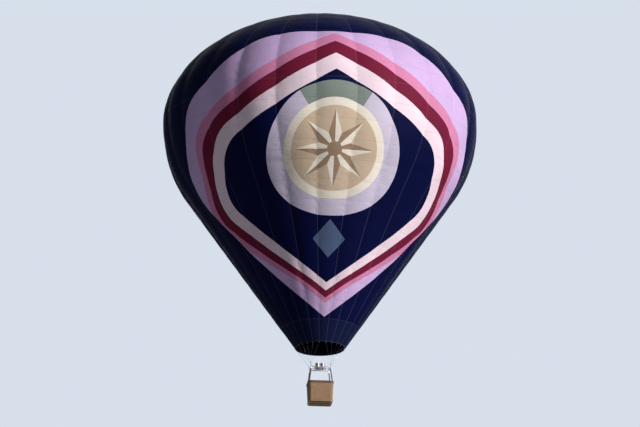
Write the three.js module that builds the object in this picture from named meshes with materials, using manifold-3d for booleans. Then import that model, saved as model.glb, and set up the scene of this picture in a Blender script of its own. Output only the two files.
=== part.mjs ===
// A hot-air balloon: a gored envelope with a parachute vent in its crown, flying wires,
// a load frame with a gimballed double burner, and a wicker basket with its fuel.
// Millimetres, +Z up. The origin is the middle of the envelope's widest circle, and the
// front of the balloon faces -Y.
import * as THREE from 'three';
import { mergeVertices } from 'three/addons/utils/BufferGeometryUtils.js';
import Module from 'manifold-3d';

const wasm = await Module();
wasm.setup();

// Driving dimensions

const degree = Math.PI / 180;
const gap = 0.3; // between pieces that rest on each other

// Envelope: a flattened dome above the widest circle, an arc below it, then a straight cone
const envelopeRadius = 8700;
const crownRise = 0.68 * envelopeRadius;
const shoulderRadius = 0.82 * envelopeRadius;
const coneAngle = 34.6 * degree;
const mouthDrop = 1.476 * envelopeRadius;
const fabricThickness = 10;
const goreCount = 24;
const goreBulge = 0.012; // middle of a gore over its load tapes, as a share of the radius
const ventRadius = 2300;
const ventOverlap = 200;
const crownSplit = 45 * degree; // seam between the crown panels and the upper panels
const mouthBandWidth = 1300;

// Webbing and wires
const tapeWidth = 40;
const tapeThickness = 3;
const tapeLift = 1;
const crownSleeve = 14;
const crownRingRadius = 170;
const crownRingTube = 12;
const crownRingLift = 3;
const wireRadius = 2.5;
const ferruleRadius = 7;
const ferruleLength = 40;
const gatherRingRadius = 20;
const gatherRingTube = 5;
const karabinerTube = 6;
const karabinerBend = 19;
const karabinerStraight = 60;

// Load frame and gimbal, drawn about the burner's pivot centre
const frameDrop = 1150; // below the mouth
const frameHalfX = 520;
const frameHalfY = 400;
const frameTube = 38;
const lugThickness = 8;
const lugSize = 44;
const lugHoleRadius = 7.4;
const socketRadius = 22;
const socketLength = 120;
const gimbalHalfX = 305;
const gimbalHalfY = 220;
const gimbalTube = 30;
const pinRadius = 10;
const pinClearance = 0.4;

// Burner
const manifoldSize = new THREE.Vector3(440, 150, 50);
const plateSize = new THREE.Vector3(530, 280, 4);
const canRadius = 125;
const canHeight = 270;
const canWall = 3;
const canSpacing = 264;
const coilOuter = 116;
const coilInner = 92;
const coilHeight = 225;
const valveRadius = 20;
const valveLength = 70;
const leverSize = new THREE.Vector3(14, 120, 14);

// Basket
const rimDrop = 900; // top of the wicker wall below the load frame
const basketHeight = 1080;
const basketHalfX = 650; // outside, at the floor
const basketHalfY = 525;
const basketCorner = 140;
const basketFlare = 50; // each side, from floor to rim
const wickerThickness = 32;
const cornerSteps = 4;
const rimWidth = 76;
const rimHeight = 64;
const bindingHeight = 90;
const bindingThickness = 6;
const floorThickness = 18;
const runnerSize = new THREE.Vector3(1160, 60, 38);
const runnerOffsets = [-360, 0, 360];
const uprightRadius = 13;
const sleeveRadius = 34;
const sleeveEnd = 12;

// Fuel cylinders and fire extinguisher
const cylinderRadius = 145;
const cylinderHeight = 800;
const cylinderX = 455;
const cylinderY = 330;
const extinguisherRadius = 52;
const extinguisherHeight = 380;

const frameHeight = -mouthDrop - frameDrop;
const wallTop = frameHeight - rimDrop;
const floorTop = wallTop - basketHeight;

const corners = [
  { name: 'front_left', x: -1, y: -1 },
  { name: 'front_right', x: 1, y: -1 },
  { name: 'rear_right', x: 1, y: 1 },
  { name: 'rear_left', x: -1, y: 1 },
];

// Materials

function material(color, roughness, metalness) {
  return new THREE.MeshStandardMaterial({ color, roughness, metalness });
}

const materials = {
  navyFabric: material('#0a1550', 0.6, 0),
  whiteFabric: material('#e8e4ec', 0.6, 0),
  heatFabric: material('#10184a', 0.8, 0),
  webbing: material('#141a3c', 0.8, 0),
  steel: material('#b9bcc0', 0.3, 1),
  castSteel: material('#8d9196', 0.45, 1),
  aluminium: material('#c9ccd0', 0.4, 1),
  brass: material('#b08d45', 0.35, 1),
  wicker: material('#a9733c', 0.75, 0),
  leather: material('#5a3a22', 0.7, 0),
  plywood: material('#b98a55', 0.6, 0),
  hardwood: material('#8a5a30', 0.6, 0),
  rod: material('#e3dcc8', 0.5, 0),
  redPaint: material('#b3161b', 0.35, 0),
};

// Geometry helpers

// One closed skin with shared vertices, no empty triangles and faces that look outwards.
function closedSkin(source) {
  const bare = source.clone();
  bare.deleteAttribute('normal');
  bare.deleteAttribute('uv');
  const merged = mergeVertices(bare, 1e-3);
  const index = [];
  const corner = [new THREE.Vector3(), new THREE.Vector3(), new THREE.Vector3()];
  let volume = 0;
  for (let i = 0; i < merged.index.count; i += 3) {
    const triangle = [0, 1, 2].map((k) => merged.index.getX(i + k));
    if (new Set(triangle).size < 3) continue;
    triangle.forEach((vertex, k) => corner[k].fromBufferAttribute(merged.attributes.position, vertex));
    volume += corner[0].dot(corner[1].clone().cross(corner[2]));
    index.push(...triangle);
  }
  if (volume < 0) index.reverse();
  const geometry = new THREE.BufferGeometry();
  geometry.setAttribute('position', merged.attributes.position);
  geometry.setIndex(index);
  return geometry;
}

function toSolid(geometry) {
  const skin = closedSkin(geometry);
  return new wasm.Manifold(new wasm.Mesh({
    numProp: 3,
    vertProperties: new Float32Array(skin.attributes.position.array),
    triVerts: new Uint32Array(skin.index.array),
  }));
}

function toGeometry(solid) {
  const mesh = solid.getMesh();
  const geometry = new THREE.BufferGeometry();
  geometry.setAttribute('position', new THREE.BufferAttribute(mesh.vertProperties, 3));
  geometry.setIndex(new THREE.BufferAttribute(mesh.triVerts, 1));
  return geometry;
}

function join(geometries) {
  return geometries.map(toSolid).reduce((whole, next) => whole.add(next));
}

// Skin over a row of sections, each a closed loop with the same number of points.
function sweep(sections, closed) {
  const size = sections[0].length;
  const count = sections.length;
  const index = [];
  for (let i = 0; i < (closed ? count : count - 1); i++) {
    const here = i * size;
    const next = ((i + 1) % count) * size;
    for (let j = 0; j < size; j++) {
      const k = (j + 1) % size;
      index.push(here + j, next + j, next + k, here + j, next + k, here + k);
    }
  }
  const end = (count - 1) * size;
  for (let j = 1; !closed && j < size - 1; j++) {
    index.push(0, j, j + 1);
    index.push(end, end + j + 1, end + j);
  }
  const geometry = new THREE.BufferGeometry();
  const numbers = sections.flat().flatMap((point) => point.toArray());
  geometry.setAttribute('position', new THREE.Float32BufferAttribute(numbers, 3));
  geometry.setIndex(index);
  return geometry;
}

function rodBetween(start, end, radius, sides) {
  const along = end.clone().sub(start);
  const geometry = new THREE.CylinderGeometry(radius, radius, along.length(), sides);
  geometry.translate(0, along.length() / 2, 0);
  geometry.applyQuaternion(turnTo(new THREE.Vector3(0, 1, 0), along));
  return geometry.translate(start.x, start.y, start.z);
}

function turnTo(from, direction) {
  return new THREE.Quaternion().setFromUnitVectors(from, direction.clone().normalize());
}

function box(x, y, z, centreX = 0, centreY = 0, centreZ = 0) {
  return new THREE.BoxGeometry(x, y, z).translate(centreX, centreY, centreZ);
}

// A lathe about Z: the outline is [radius, height] pairs.
function turned(outline, segments) {
  const points = outline.map(([radius, height]) => new THREE.Vector2(radius, height));
  return new THREE.LatheGeometry(points, segments).rotateX(90 * degree);
}

// Envelope meridian: each station has its radius, height and outward direction

function station(radius, height, out, up) {
  const length = Math.hypot(out, up);
  return { radius, height, out: out / length, up: up / length };
}

function domeStation(angle) {
  const [cosine, sine] = [Math.cos(angle), Math.sin(angle)];
  return station(envelopeRadius * cosine, crownRise * sine, crownRise * cosine, envelopeRadius * sine);
}

function shoulderStation(angle) {
  const [cosine, sine] = [Math.cos(angle), Math.sin(angle)];
  return station(envelopeRadius - shoulderRadius * (1 - cosine), -shoulderRadius * sine, cosine, -sine);
}

const coneTop = shoulderStation(coneAngle);
const coneLength = (mouthDrop + coneTop.height) / Math.cos(coneAngle);

function coneStation(distance) {
  const radius = coneTop.radius - distance * Math.sin(coneAngle);
  const height = coneTop.height - distance * Math.cos(coneAngle);
  return station(radius, height, Math.cos(coneAngle), -Math.sin(coneAngle));
}

function spaced(from, to, steps, make) {
  return Array.from({ length: steps + 1 }, (unused, i) => make(from + ((to - from) * i) / steps));
}

const ventAngle = Math.acos(ventRadius / envelopeRadius);
const trim = gap / 2 / envelopeRadius;
const bandSeam = coneLength - mouthBandWidth;

const bands = [
  {
    name: 'envelope_crown_panels',
    fabric: materials.navyFabric,
    stations: spaced(ventAngle, crownSplit + trim, 3, domeStation),
  },
  {
    name: 'envelope_upper_panels',
    fabric: materials.whiteFabric,
    stations: spaced(crownSplit - trim, trim, 4, domeStation),
  },
  {
    name: 'envelope_lower_panels',
    fabric: materials.navyFabric,
    stations: [
      ...spaced(trim, coneAngle, 3, shoulderStation),
      coneStation(bandSeam - gap),
    ],
  },
  {
    name: 'envelope_mouth_band',
    fabric: materials.heatFabric,
    stations: spaced(bandSeam, coneLength, 1, coneStation),
  },
];

// A station on the straight facet between two others, so that what lies on it stays parallel.
function onFacet(first, second, distance) {
  const length = Math.hypot(second.radius - first.radius, second.height - first.height);
  const mix = (key) => first[key] + ((second[key] - first[key]) * distance) / length;
  return { radius: mix('radius'), height: mix('height'), out: mix('out'), up: mix('up') };
}

// Cross-section of a skin that follows the meridian between two depths from its surface.
function skinSection(stations, outside, inside) {
  const at = (depth) => ({ radius, height, out, up }) => [radius + out * depth, height + up * depth];
  const outer = stations.map(at(outside));
  const inner = stations.map(at(inside)).reverse();
  return [...outer, ...inner, outer[0]];
}

// Two segments to a gore. The tapes, at the odd segments, lie nearer the axis than the gores.
function gored(geometry) {
  const position = geometry.attributes.position;
  for (let i = 0; i < position.count; i++) {
    const [x, y] = [position.getX(i), position.getY(i)];
    const segment = Math.round((Math.atan2(x, -y) * goreCount) / Math.PI);
    const scale = segment % 2 ? 1 / (1 + goreBulge) : 1;
    position.setXY(i, x * scale, y * scale);
  }
  return geometry;
}

function goredRing(stations, outside, inside) {
  return gored(turned(skinSection(stations, outside, inside), 2 * goreCount));
}

// Unit vectors away from the axis and along the circle, at an angle from the front.
function outwards(angle) {
  return new THREE.Vector3(Math.sin(angle), -Math.cos(angle), 0);
}

function sideways(angle) {
  return new THREE.Vector3(Math.cos(angle), Math.sin(angle), 0);
}

const tapeAngles = Array.from({ length: goreCount }, (unused, i) => ((i + 0.5) * 360 * degree) / goreCount);

function tapePoint(angle, { radius, height, out, up }, lift) {
  const reach = radius / (1 + goreBulge) + out * lift;
  return outwards(angle).multiplyScalar(reach).setZ(height + up * lift);
}

function loadTape(angle, stations) {
  const aside = sideways(angle).multiplyScalar(tapeWidth / 2);
  return sweep(stations.map((place) => {
    const under = tapePoint(angle, place, tapeLift);
    const over = tapePoint(angle, place, tapeLift + tapeThickness);
    return [
      under.clone().sub(aside), under.clone().add(aside), over.clone().add(aside), over.clone().sub(aside),
    ];
  }), false);
}

// The tapes run from the crown to the mouth, and a sleeve round the crown ring joins them.
function loadTapes() {
  const [inner, outer] = [crownRingRadius + crownRingTube, crownRingRadius + crownRingTube + crownSleeve];
  const crownAngle = Math.acos((inner * (1 + goreBulge)) / envelopeRadius);
  const crossing = spaced(crownAngle, ventAngle, 3, domeStation).slice(0, -1);
  const stations = [...crossing, ...bands.flatMap((band, i) => band.stations.slice(i ? 1 : 0))];
  const sleeve = turned([
    [inner, crownRise], [outer, crownRise], [outer, crownRise + tapeThickness],
    [inner, crownRise + tapeThickness], [inner, crownRise],
  ], goreCount);
  sleeve.rotateZ((180 * degree) / goreCount);
  return toGeometry(join([sleeve, ...tapeAngles.map((angle) => loadTape(angle, stations))]));
}

function parachuteVent() {
  const [ventTop, ventNext] = bands[0].stations;
  const stations = [
    ...spaced(90 * degree, ventAngle, 3, domeStation),
    onFacet(ventTop, ventNext, ventOverlap),
  ];
  const outside = -fabricThickness - gap;
  const section = skinSection(stations, outside, outside - fabricThickness);
  section.pop();
  section[0][0] = 0;
  section.at(-1)[0] = 0;
  return gored(turned(section, 2 * goreCount));
}

function crownRing() {
  const ring = new THREE.TorusGeometry(crownRingRadius, crownRingTube - gap, 8, goreCount);
  return ring.rotateZ((180 * degree) / goreCount);
}

// Flying wires: six from each quarter of the mouth gather in a ring on that corner's karabiner

const lugHeight = frameHeight + frameTube / 2 + lugSize / 2;

// The line of pull at one corner: from the hole of the lug to the middle of its six tapes.
function pullLine(corner) {
  const isMine = (angle) => outwards(angle).x * corner.x > 0 && outwards(angle).y * corner.y > 0;
  const angles = tapeAngles.filter(isMine);
  const mouth = coneStation(coneLength);
  const middle = new THREE.Vector3();
  angles.forEach((angle) => middle.addScaledVector(tapePoint(angle, mouth, 0), 1 / angles.length));
  const foot = new THREE.Vector3(corner.x * frameHalfX, corner.y * frameHalfY, lugHeight);
  const along = middle.sub(foot).normalize();
  const across = new THREE.Vector3(-along.y, along.x, 0).normalize();
  const normal = along.clone().cross(across);
  return { angles, foot, along, across, normal };
}

const karabinerLength = karabinerStraight + 2 * karabinerBend;
const gatherRingCentre = karabinerLength - karabinerTube - gatherRingTube - gap + gatherRingRadius;

// A round bar bent to a closed loop: the path gives each point's place in the loop's plane.
function bentLoop(path, centre, axisU, axisV, tube, sides) {
  const axisW = axisU.clone().cross(axisV);
  const sections = path.map(({ u, v, outU, outV }) => {
    const middle = centre.clone().addScaledVector(axisU, u).addScaledVector(axisV, v);
    const out = axisU.clone().multiplyScalar(outU).addScaledVector(axisV, outV);
    return Array.from({ length: sides }, (unused, i) => {
      const turn = ((i + 0.5) * 360 * degree) / sides;
      return middle.clone()
        .addScaledVector(out, tube * Math.cos(turn))
        .addScaledVector(axisW, tube * Math.sin(turn));
    });
  });
  return sweep(sections, true);
}

function circlePath(radius, steps) {
  return Array.from({ length: steps }, (unused, i) => {
    const turn = (i * 360 * degree) / steps;
    const [outU, outV] = [Math.cos(turn), Math.sin(turn)];
    return { u: radius * outU, v: radius * outV, outU, outV };
  });
}

// A stadium along V whose lowest point is the origin.
function linkPath(bend, straight, halfSteps) {
  return [1, -1].flatMap((end) => Array.from({ length: halfSteps + 1 }, (unused, i) => {
    const turn = ((end > 0 ? 0 : 180) + (i * 180) / halfSteps) * degree;
    const [outU, outV] = [Math.cos(turn), Math.sin(turn)];
    return { u: bend * outU, v: bend * outV + bend + (end > 0 ? straight : 0), outU, outV };
  }));
}

function karabiner({ foot, along, across }) {
  return bentLoop(linkPath(karabinerBend, karabinerStraight, 6), foot, across, along, karabinerTube, 8);
}

function flyingWires({ angles, foot, along, normal }) {
  const ringCentre = foot.clone().addScaledVector(along, gatherRingCentre);
  const ringTop = ringCentre.clone().addScaledVector(along, gatherRingRadius);
  const ring = bentLoop(circlePath(gatherRingRadius, 12), ringCentre, normal, along, gatherRingTube, 6);
  const mouth = coneStation(coneLength);
  const strands = angles.flatMap((angle) => {
    const downCone = outwards(angle).multiplyScalar(-Math.sin(coneAngle)).setZ(-Math.cos(coneAngle));
    const ferruleTop = tapePoint(angle, mouth, tapeLift + tapeThickness / 2).addScaledVector(downCone, gap);
    const ferruleFoot = ferruleTop.clone().addScaledVector(downCone, ferruleLength);
    const wireTop = ferruleTop.clone().addScaledVector(downCone, ferruleLength / 2);
    return [
      rodBetween(ferruleTop, ferruleFoot, ferruleRadius, 6),
      rodBetween(ringTop, wireTop, wireRadius, 5),
    ];
  });
  return toGeometry(join([ring, ...strands]));
}

// Load frame, gimbal and uprights

// The line of one upright: from the top of the wicker wall to the load frame's corner.
function uprightLine(corner) {
  const wallMiddle = basketFlare - wickerThickness / 2;
  const inset = basketCorner * (1 - Math.SQRT1_2);
  const reach = wallMiddle * Math.SQRT1_2 - inset;
  const foot = new THREE.Vector3(
    corner.x * (basketHalfX + reach),
    corner.y * (basketHalfY + reach),
    wallTop,
  );
  const head = new THREE.Vector3(corner.x * frameHalfX, corner.y * frameHalfY, frameHeight);
  return { foot, head, along: head.clone().sub(foot).normalize() };
}

function onLine({ head, along }, distanceDown) {
  return head.clone().addScaledVector(along, -distanceDown);
}

// Four tubes round an opening, with the given half sizes to the middle of the tubes.
function rectangularFrame(halfX, halfY, tube) {
  const long = [-halfY, halfY].map((y) => box(2 * halfX + tube, tube, tube, 0, y, 0));
  const short = [-halfX, halfX].map((x) => box(tube, 2 * halfY + tube, tube, x, 0, 0));
  return join([...long, ...short]);
}

function alongX(from, to, radius, sides) {
  return rodBetween(new THREE.Vector3(from, 0, 0), new THREE.Vector3(to, 0, 0), radius, sides);
}

function alongY(from, to, radius, sides) {
  return rodBetween(new THREE.Vector3(0, from, 0), new THREE.Vector3(0, to, 0), radius, sides);
}

function loadFrame() {
  const tubes = toGeometry(rectangularFrame(frameHalfX, frameHalfY, frameTube));
  let frame = toSolid(tubes.translate(0, 0, frameHeight));
  for (const corner of corners) {
    const line = uprightLine(corner);
    frame = frame.add(toSolid(rodBetween(onLine(line, socketLength), line.head, socketRadius, 12)));
  }
  const bore = alongX(-frameHalfX - frameTube, frameHalfX + frameTube, pinRadius + pinClearance, 12);
  frame = frame.subtract(toSolid(bore.translate(0, 0, frameHeight)));
  for (const corner of corners) {
    const line = uprightLine(corner);
    const below = onLine(line, socketLength + frameTube);
    const stop = onLine(line, frameTube / 2 + gap);
    frame = frame.subtract(toSolid(rodBetween(below, stop, uprightRadius + pinClearance, 12)));
    const { foot, along, across } = pullLine(corner);
    const lug = box(lugSize, lugThickness, lugSize + 2, 0, 0, -1);
    lug.rotateZ(Math.atan2(along.y, along.x)).translate(foot.x, foot.y, foot.z);
    const [left, right] = [-lugSize, lugSize].map((side) => foot.clone().addScaledVector(across, side));
    frame = frame.add(toSolid(lug)).subtract(toSolid(rodBetween(left, right, lugHoleRadius, 12)));
  }
  return toGeometry(frame);
}

function gimbalRing() {
  const pinEnd = frameHalfX + frameTube / 2;
  const pins = [alongX(gimbalHalfX, pinEnd, pinRadius, 12), alongX(-pinEnd, -gimbalHalfX, pinRadius, 12)];
  const bore = alongY(-gimbalHalfY - gimbalTube, gimbalHalfY + gimbalTube, pinRadius + pinClearance, 12);
  const ring = rectangularFrame(gimbalHalfX, gimbalHalfY, gimbalTube).add(join(pins));
  return toGeometry(ring.subtract(toSolid(bore)));
}

function manifoldBlock() {
  const pinEnd = gimbalHalfY + gimbalTube / 2;
  const block = box(manifoldSize.x, manifoldSize.y, manifoldSize.z);
  return toGeometry(join([block, alongY(-pinEnd, pinEnd, pinRadius, 12)]));
}

// Burner: the heights are above the pivot

const plateTop = manifoldSize.z / 2 + gap + plateSize.z;
const canFoot = plateTop + gap;

function burnerCan() {
  const inner = canRadius - canWall;
  return turned([
    [0, 0], [canRadius, 0], [canRadius, canHeight], [inner, canHeight], [inner, canWall], [0, canWall],
  ], 24);
}

function burnerCoil() {
  return turned([
    [coilInner, 0], [coilOuter, 0], [coilOuter, coilHeight], [coilInner, coilHeight], [coilInner, 0],
  ], 24);
}

function blastValve() {
  const top = new THREE.Vector3(0, 0, -manifoldSize.z / 2 - gap);
  const foot = top.clone().setZ(top.z - valveLength);
  const lever = box(leverSize.x, leverSize.y, leverSize.z, 0, -leverSize.y / 2, foot.z);
  return toGeometry(join([rodBetween(foot, top, valveRadius, 16), lever]));
}

// Basket

// Points round a rectangle with round corners, anticlockwise, with their outward direction.
const basketOutline = [[1, 1], [-1, 1], [-1, -1], [1, -1]].flatMap(([x, y], quarter) => (
  Array.from({ length: cornerSteps + 1 }, (unused, i) => {
    const turn = (quarter + i / cornerSteps) * 90 * degree;
    const out = new THREE.Vector3(Math.cos(turn), Math.sin(turn), 0);
    const centre = new THREE.Vector3(
      x * (basketHalfX - basketCorner),
      y * (basketHalfY - basketCorner),
      0,
    );
    return { out, point: centre.addScaledVector(out, basketCorner) };
  })
));

function flareAt(height) {
  return (basketFlare * (height - floorTop)) / basketHeight;
}

// A band round the basket: the outline is [distance outside the wall's face, height] pairs.
function aroundBasket(outline) {
  return sweep(basketOutline.map(({ point, out }) => outline.map(([distance, height]) => (
    point.clone().addScaledVector(out, distance + flareAt(height)).setZ(height)
  ))), true);
}

function basketWalls() {
  const foot = floorTop + gap;
  return aroundBasket([[0, foot], [0, wallTop], [-wickerThickness, wallTop], [-wickerThickness, foot]]);
}

function basketRim() {
  const middle = -wickerThickness / 2;
  const chamfer = rimHeight / 4;
  const [low, high] = [wallTop + gap, wallTop + gap + rimHeight];
  const half = rimWidth / 2;
  let rim = toSolid(aroundBasket([
    [middle - half + chamfer, low], [middle + half - chamfer, low],
    [middle + half, low + chamfer], [middle + half, high - chamfer],
    [middle + half - chamfer, high], [middle - half + chamfer, high],
    [middle - half, high - chamfer], [middle - half, low + chamfer],
  ]));
  for (const corner of corners) {
    const line = uprightLine(corner);
    const below = line.foot.clone().addScaledVector(line.along, -rimHeight);
    const above = line.foot.clone().addScaledVector(line.along, 2 * rimHeight);
    rim = rim.subtract(toSolid(rodBetween(below, above, uprightRadius + pinClearance, 12)));
  }
  return toGeometry(rim);
}

function basketBinding() {
  const [low, high] = [floorTop + gap, floorTop + bindingHeight];
  const outside = gap + bindingThickness;
  return aroundBasket([[gap, low], [outside, low], [outside, high], [gap, high]]);
}

function basketFloor() {
  const shape = new THREE.Shape(basketOutline.map(({ point }) => new THREE.Vector2(point.x, point.y)));
  return new THREE.ExtrudeGeometry(shape, { depth: floorThickness, bevelEnabled: false });
}

function upright(corner) {
  const line = uprightLine(corner);
  const lean = uprightRadius * Math.hypot(line.along.x, line.along.y);
  const foot = line.foot.clone().addScaledVector(line.along, gap + lean);
  return rodBetween(foot, onLine(line, frameTube / 2 + 2 * gap), uprightRadius, 12);
}

function uprightSleeve(corner) {
  const line = uprightLine(corner);
  const lean = sleeveRadius * Math.hypot(line.along.x, line.along.y);
  const foot = (rimHeight + lean + sleeveEnd) / line.along.z;
  const length = line.head.distanceTo(line.foot) - socketLength - sleeveEnd - foot;
  const inner = uprightRadius + pinClearance;
  const sleeve = turned([[inner, 0], [sleeveRadius, 0], [sleeveRadius, length], [inner, length], [inner, 0]], 12);
  sleeve.applyQuaternion(turnTo(new THREE.Vector3(0, 0, 1), line.along));
  const start = line.foot.clone().addScaledVector(line.along, foot);
  return sleeve.translate(start.x, start.y, start.z);
}

// Fuel cylinder: foot ring, straight shell with dished ends, and the guard full of valves
function fuelCylinder() {
  const dish = cylinderRadius / 3;
  const footRadius = 0.72 * cylinderRadius;
  const guardRadius = 0.62 * cylinderRadius;
  const footHeight = 30;
  const guardHeight = 110;
  const shellTop = cylinderHeight - guardHeight;
  const dishRow = (end, from, to) => spaced(from, to, 2, (angle) => [
    cylinderRadius * Math.cos(angle * degree),
    end + dish * Math.sin(angle * degree),
  ]);
  return turned([
    [0, 0], [footRadius, 0], [footRadius, footHeight],
    ...dishRow(footHeight + dish, -44, 0),
    ...dishRow(shellTop - dish, 0, 52),
    [guardRadius, cylinderHeight], [0, cylinderHeight],
  ], 16);
}

function extinguisher() {
  const shoulder = extinguisherHeight - 90;
  return turned([
    [0, 0], [extinguisherRadius, 0], [extinguisherRadius, shoulder],
    [0.7 * extinguisherRadius, shoulder + 30], [18, shoulder + 40], [18, extinguisherHeight],
    [0, extinguisherHeight],
  ], 16);
}

// Assembly

const balloon = new THREE.Group();

function place(name, geometry, finish, parent = balloon, at = [0, 0, 0]) {
  const mesh = new THREE.Mesh(closedSkin(geometry), finish.clone());
  mesh.name = name;
  mesh.position.set(...at);
  parent.add(mesh);
}

for (const { name, fabric, stations } of bands) {
  place(name, goredRing(stations, 0, -fabricThickness), fabric);
}
place('load_tapes', loadTapes(), materials.webbing);
place('crown_ring', crownRing(), materials.aluminium, balloon, [0, 0, crownRise + crownRingLift]);
place('parachute_vent', parachuteVent(), materials.navyFabric);

for (const corner of corners) {
  const line = pullLine(corner);
  place(`flying_wires_${corner.name}`, flyingWires(line), materials.steel);
  place(`karabiner_${corner.name}`, karabiner(line), materials.castSteel);
}

place('load_frame', loadFrame(), materials.steel);

const burner = new THREE.Group();
burner.position.z = frameHeight;
balloon.add(burner);
place('gimbal_ring', gimbalRing(), materials.steel, burner);
place('burner_manifold', manifoldBlock(), materials.castSteel, burner);
place('burner_plate', box(plateSize.x, plateSize.y, plateSize.z), materials.steel, burner,
  [0, 0, plateTop - plateSize.z / 2]);
for (const [side, x] of [['left', -canSpacing / 2], ['right', canSpacing / 2]]) {
  place(`burner_can_${side}`, burnerCan(), materials.steel, burner, [x, 0, canFoot]);
  place(`burner_coil_${side}`, burnerCoil(), materials.steel, burner, [x, 0, canFoot + canWall + gap]);
  place(`blast_valve_${side}`, blastValve(), materials.brass, burner, [x, 0, 0]);
}

place('basket_walls', basketWalls(), materials.wicker);
place('basket_rim', basketRim(), materials.leather);
place('basket_binding', basketBinding(), materials.leather);
place('basket_floor', basketFloor(), materials.plywood, balloon, [0, 0, floorTop - floorThickness]);
runnerOffsets.forEach((y, i) => {
  const middle = floorTop - floorThickness - gap - runnerSize.z / 2;
  const runner = box(runnerSize.x, runnerSize.y, runnerSize.z);
  place(`floor_runner_${i + 1}`, runner, materials.hardwood, balloon, [0, y, middle]);
});
for (const corner of corners) {
  place(`upright_${corner.name}`, upright(corner), materials.rod);
  place(`upright_sleeve_${corner.name}`, uprightSleeve(corner), materials.leather);
  place(`fuel_cylinder_${corner.name}`, fuelCylinder(), materials.aluminium, balloon,
    [corner.x * cylinderX, corner.y * cylinderY, floorTop + gap]);
}
place('fire_extinguisher', extinguisher(), materials.redPaint, balloon, [0, 420, floorTop + gap]);

export default balloon;
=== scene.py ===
from functools import cached_property, partial, reduce
from math import atan2, copysign, cos, exp, pi, radians, sin, sqrt, tan

import bmesh
import bpy
import numpy as np
from mathutils import Matrix, Vector


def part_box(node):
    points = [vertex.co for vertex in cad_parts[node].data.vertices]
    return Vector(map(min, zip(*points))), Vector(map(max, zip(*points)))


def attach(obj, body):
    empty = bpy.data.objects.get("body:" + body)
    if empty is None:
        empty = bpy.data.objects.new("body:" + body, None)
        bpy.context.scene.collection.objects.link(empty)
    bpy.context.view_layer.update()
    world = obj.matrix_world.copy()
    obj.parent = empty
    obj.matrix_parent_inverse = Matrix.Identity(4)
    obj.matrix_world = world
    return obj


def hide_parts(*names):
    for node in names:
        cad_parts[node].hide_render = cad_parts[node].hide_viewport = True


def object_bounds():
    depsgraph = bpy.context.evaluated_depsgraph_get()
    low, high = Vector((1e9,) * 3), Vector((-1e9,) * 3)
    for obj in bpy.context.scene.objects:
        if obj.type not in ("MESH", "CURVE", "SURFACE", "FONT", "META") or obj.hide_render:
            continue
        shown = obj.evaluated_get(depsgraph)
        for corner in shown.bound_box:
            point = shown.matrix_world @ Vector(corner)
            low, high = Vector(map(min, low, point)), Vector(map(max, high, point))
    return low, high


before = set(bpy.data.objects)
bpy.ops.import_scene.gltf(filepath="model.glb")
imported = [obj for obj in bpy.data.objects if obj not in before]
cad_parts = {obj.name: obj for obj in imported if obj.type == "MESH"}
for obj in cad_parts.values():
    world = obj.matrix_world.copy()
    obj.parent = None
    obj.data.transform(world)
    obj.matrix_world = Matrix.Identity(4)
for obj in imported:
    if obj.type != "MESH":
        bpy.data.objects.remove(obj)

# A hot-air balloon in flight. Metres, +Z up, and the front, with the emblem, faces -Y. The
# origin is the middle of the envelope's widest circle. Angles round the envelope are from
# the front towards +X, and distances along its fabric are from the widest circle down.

CAD_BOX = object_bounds()
TURN = 2 * pi
UP = Vector((0, 0, 1))
BOTH_SIDES = (Vector((-1, 0, 0)), Vector((1, 0, 0)))

# Envelope, as in the CAD: a flattened dome, a shoulder under the widest circle, then a cone
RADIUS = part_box("envelope_upper_panels")[1][0]
CROWN_RISE = 0.68 * RADIUS
SHOULDER_RADIUS = 0.82 * RADIUS
CONE_ANGLE = radians(34.6)
MOUTH_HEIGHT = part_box("envelope_mouth_band")[0][2]
BAND_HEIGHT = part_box("envelope_mouth_band")[1][2]
DOME_STEPS = 600
GORES = 24
GORE_ANGLE = TURN / GORES
GORE_BULGE = 0.012
VENT_RADIUS = 2.3
VENT_OVERLAP = 0.2
VENT_DROP = 0.012
VENT_HUB = 0.03
VENT_ROWS = 22
FABRIC = 0.003
PANELS_ABOVE = 8
PANELS_BELOW = 12
HEM_COLUMNS = 8 * GORES
SEAM = 0.020
SEAM_RISE = 0.002
PILLOW = 0.014
PUCKER = 0.016
PUCKER_STEP = 0.55
PUCKERED = 0.35
PUCKER_PEAK = 12.2

# Cells of a panel's mesh, and how much closer together they are beside the tapes
CELLS_ACROSS = 12
CELLS_ALONG = 8
CROWDING = 0.25

# Emblem, in metres on the fabric: a kite of stripes round a navy field with a roundel. Each
# line of the kite, and of the arch round it, is its direction aside and down and its distance.
KITE = ((0.483, -0.875, 0.39), (1.0, 0.0, 6.65), (0.632, 0.775, 9.0))
ARCH = ((0.0, -1.0, 3.3), (0.557, -0.831, 4.95), (1.0, 0.0, 10.0), (0.652, 0.758, 10.3))
KITE_ROUNDING = 1.2
STRIPES = (0.0, 0.90, 1.70, 2.30)
STRIPE_TAPER = 0.07
TAPER_FROM = 3.0
NARROWEST = 0.4
ROUNDEL_MIDDLE = 4.0
ROUNDEL_RINGS = (3.80, 2.85, 2.40)
RING_ARC = radians(32)
STAR_POINTS = 8
STAR_TIP = 2.2
STAR_NOTCH = 0.95
STAR_HUB = 0.42
LOZENGE = (9.1, 0.90, 1.10)

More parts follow.
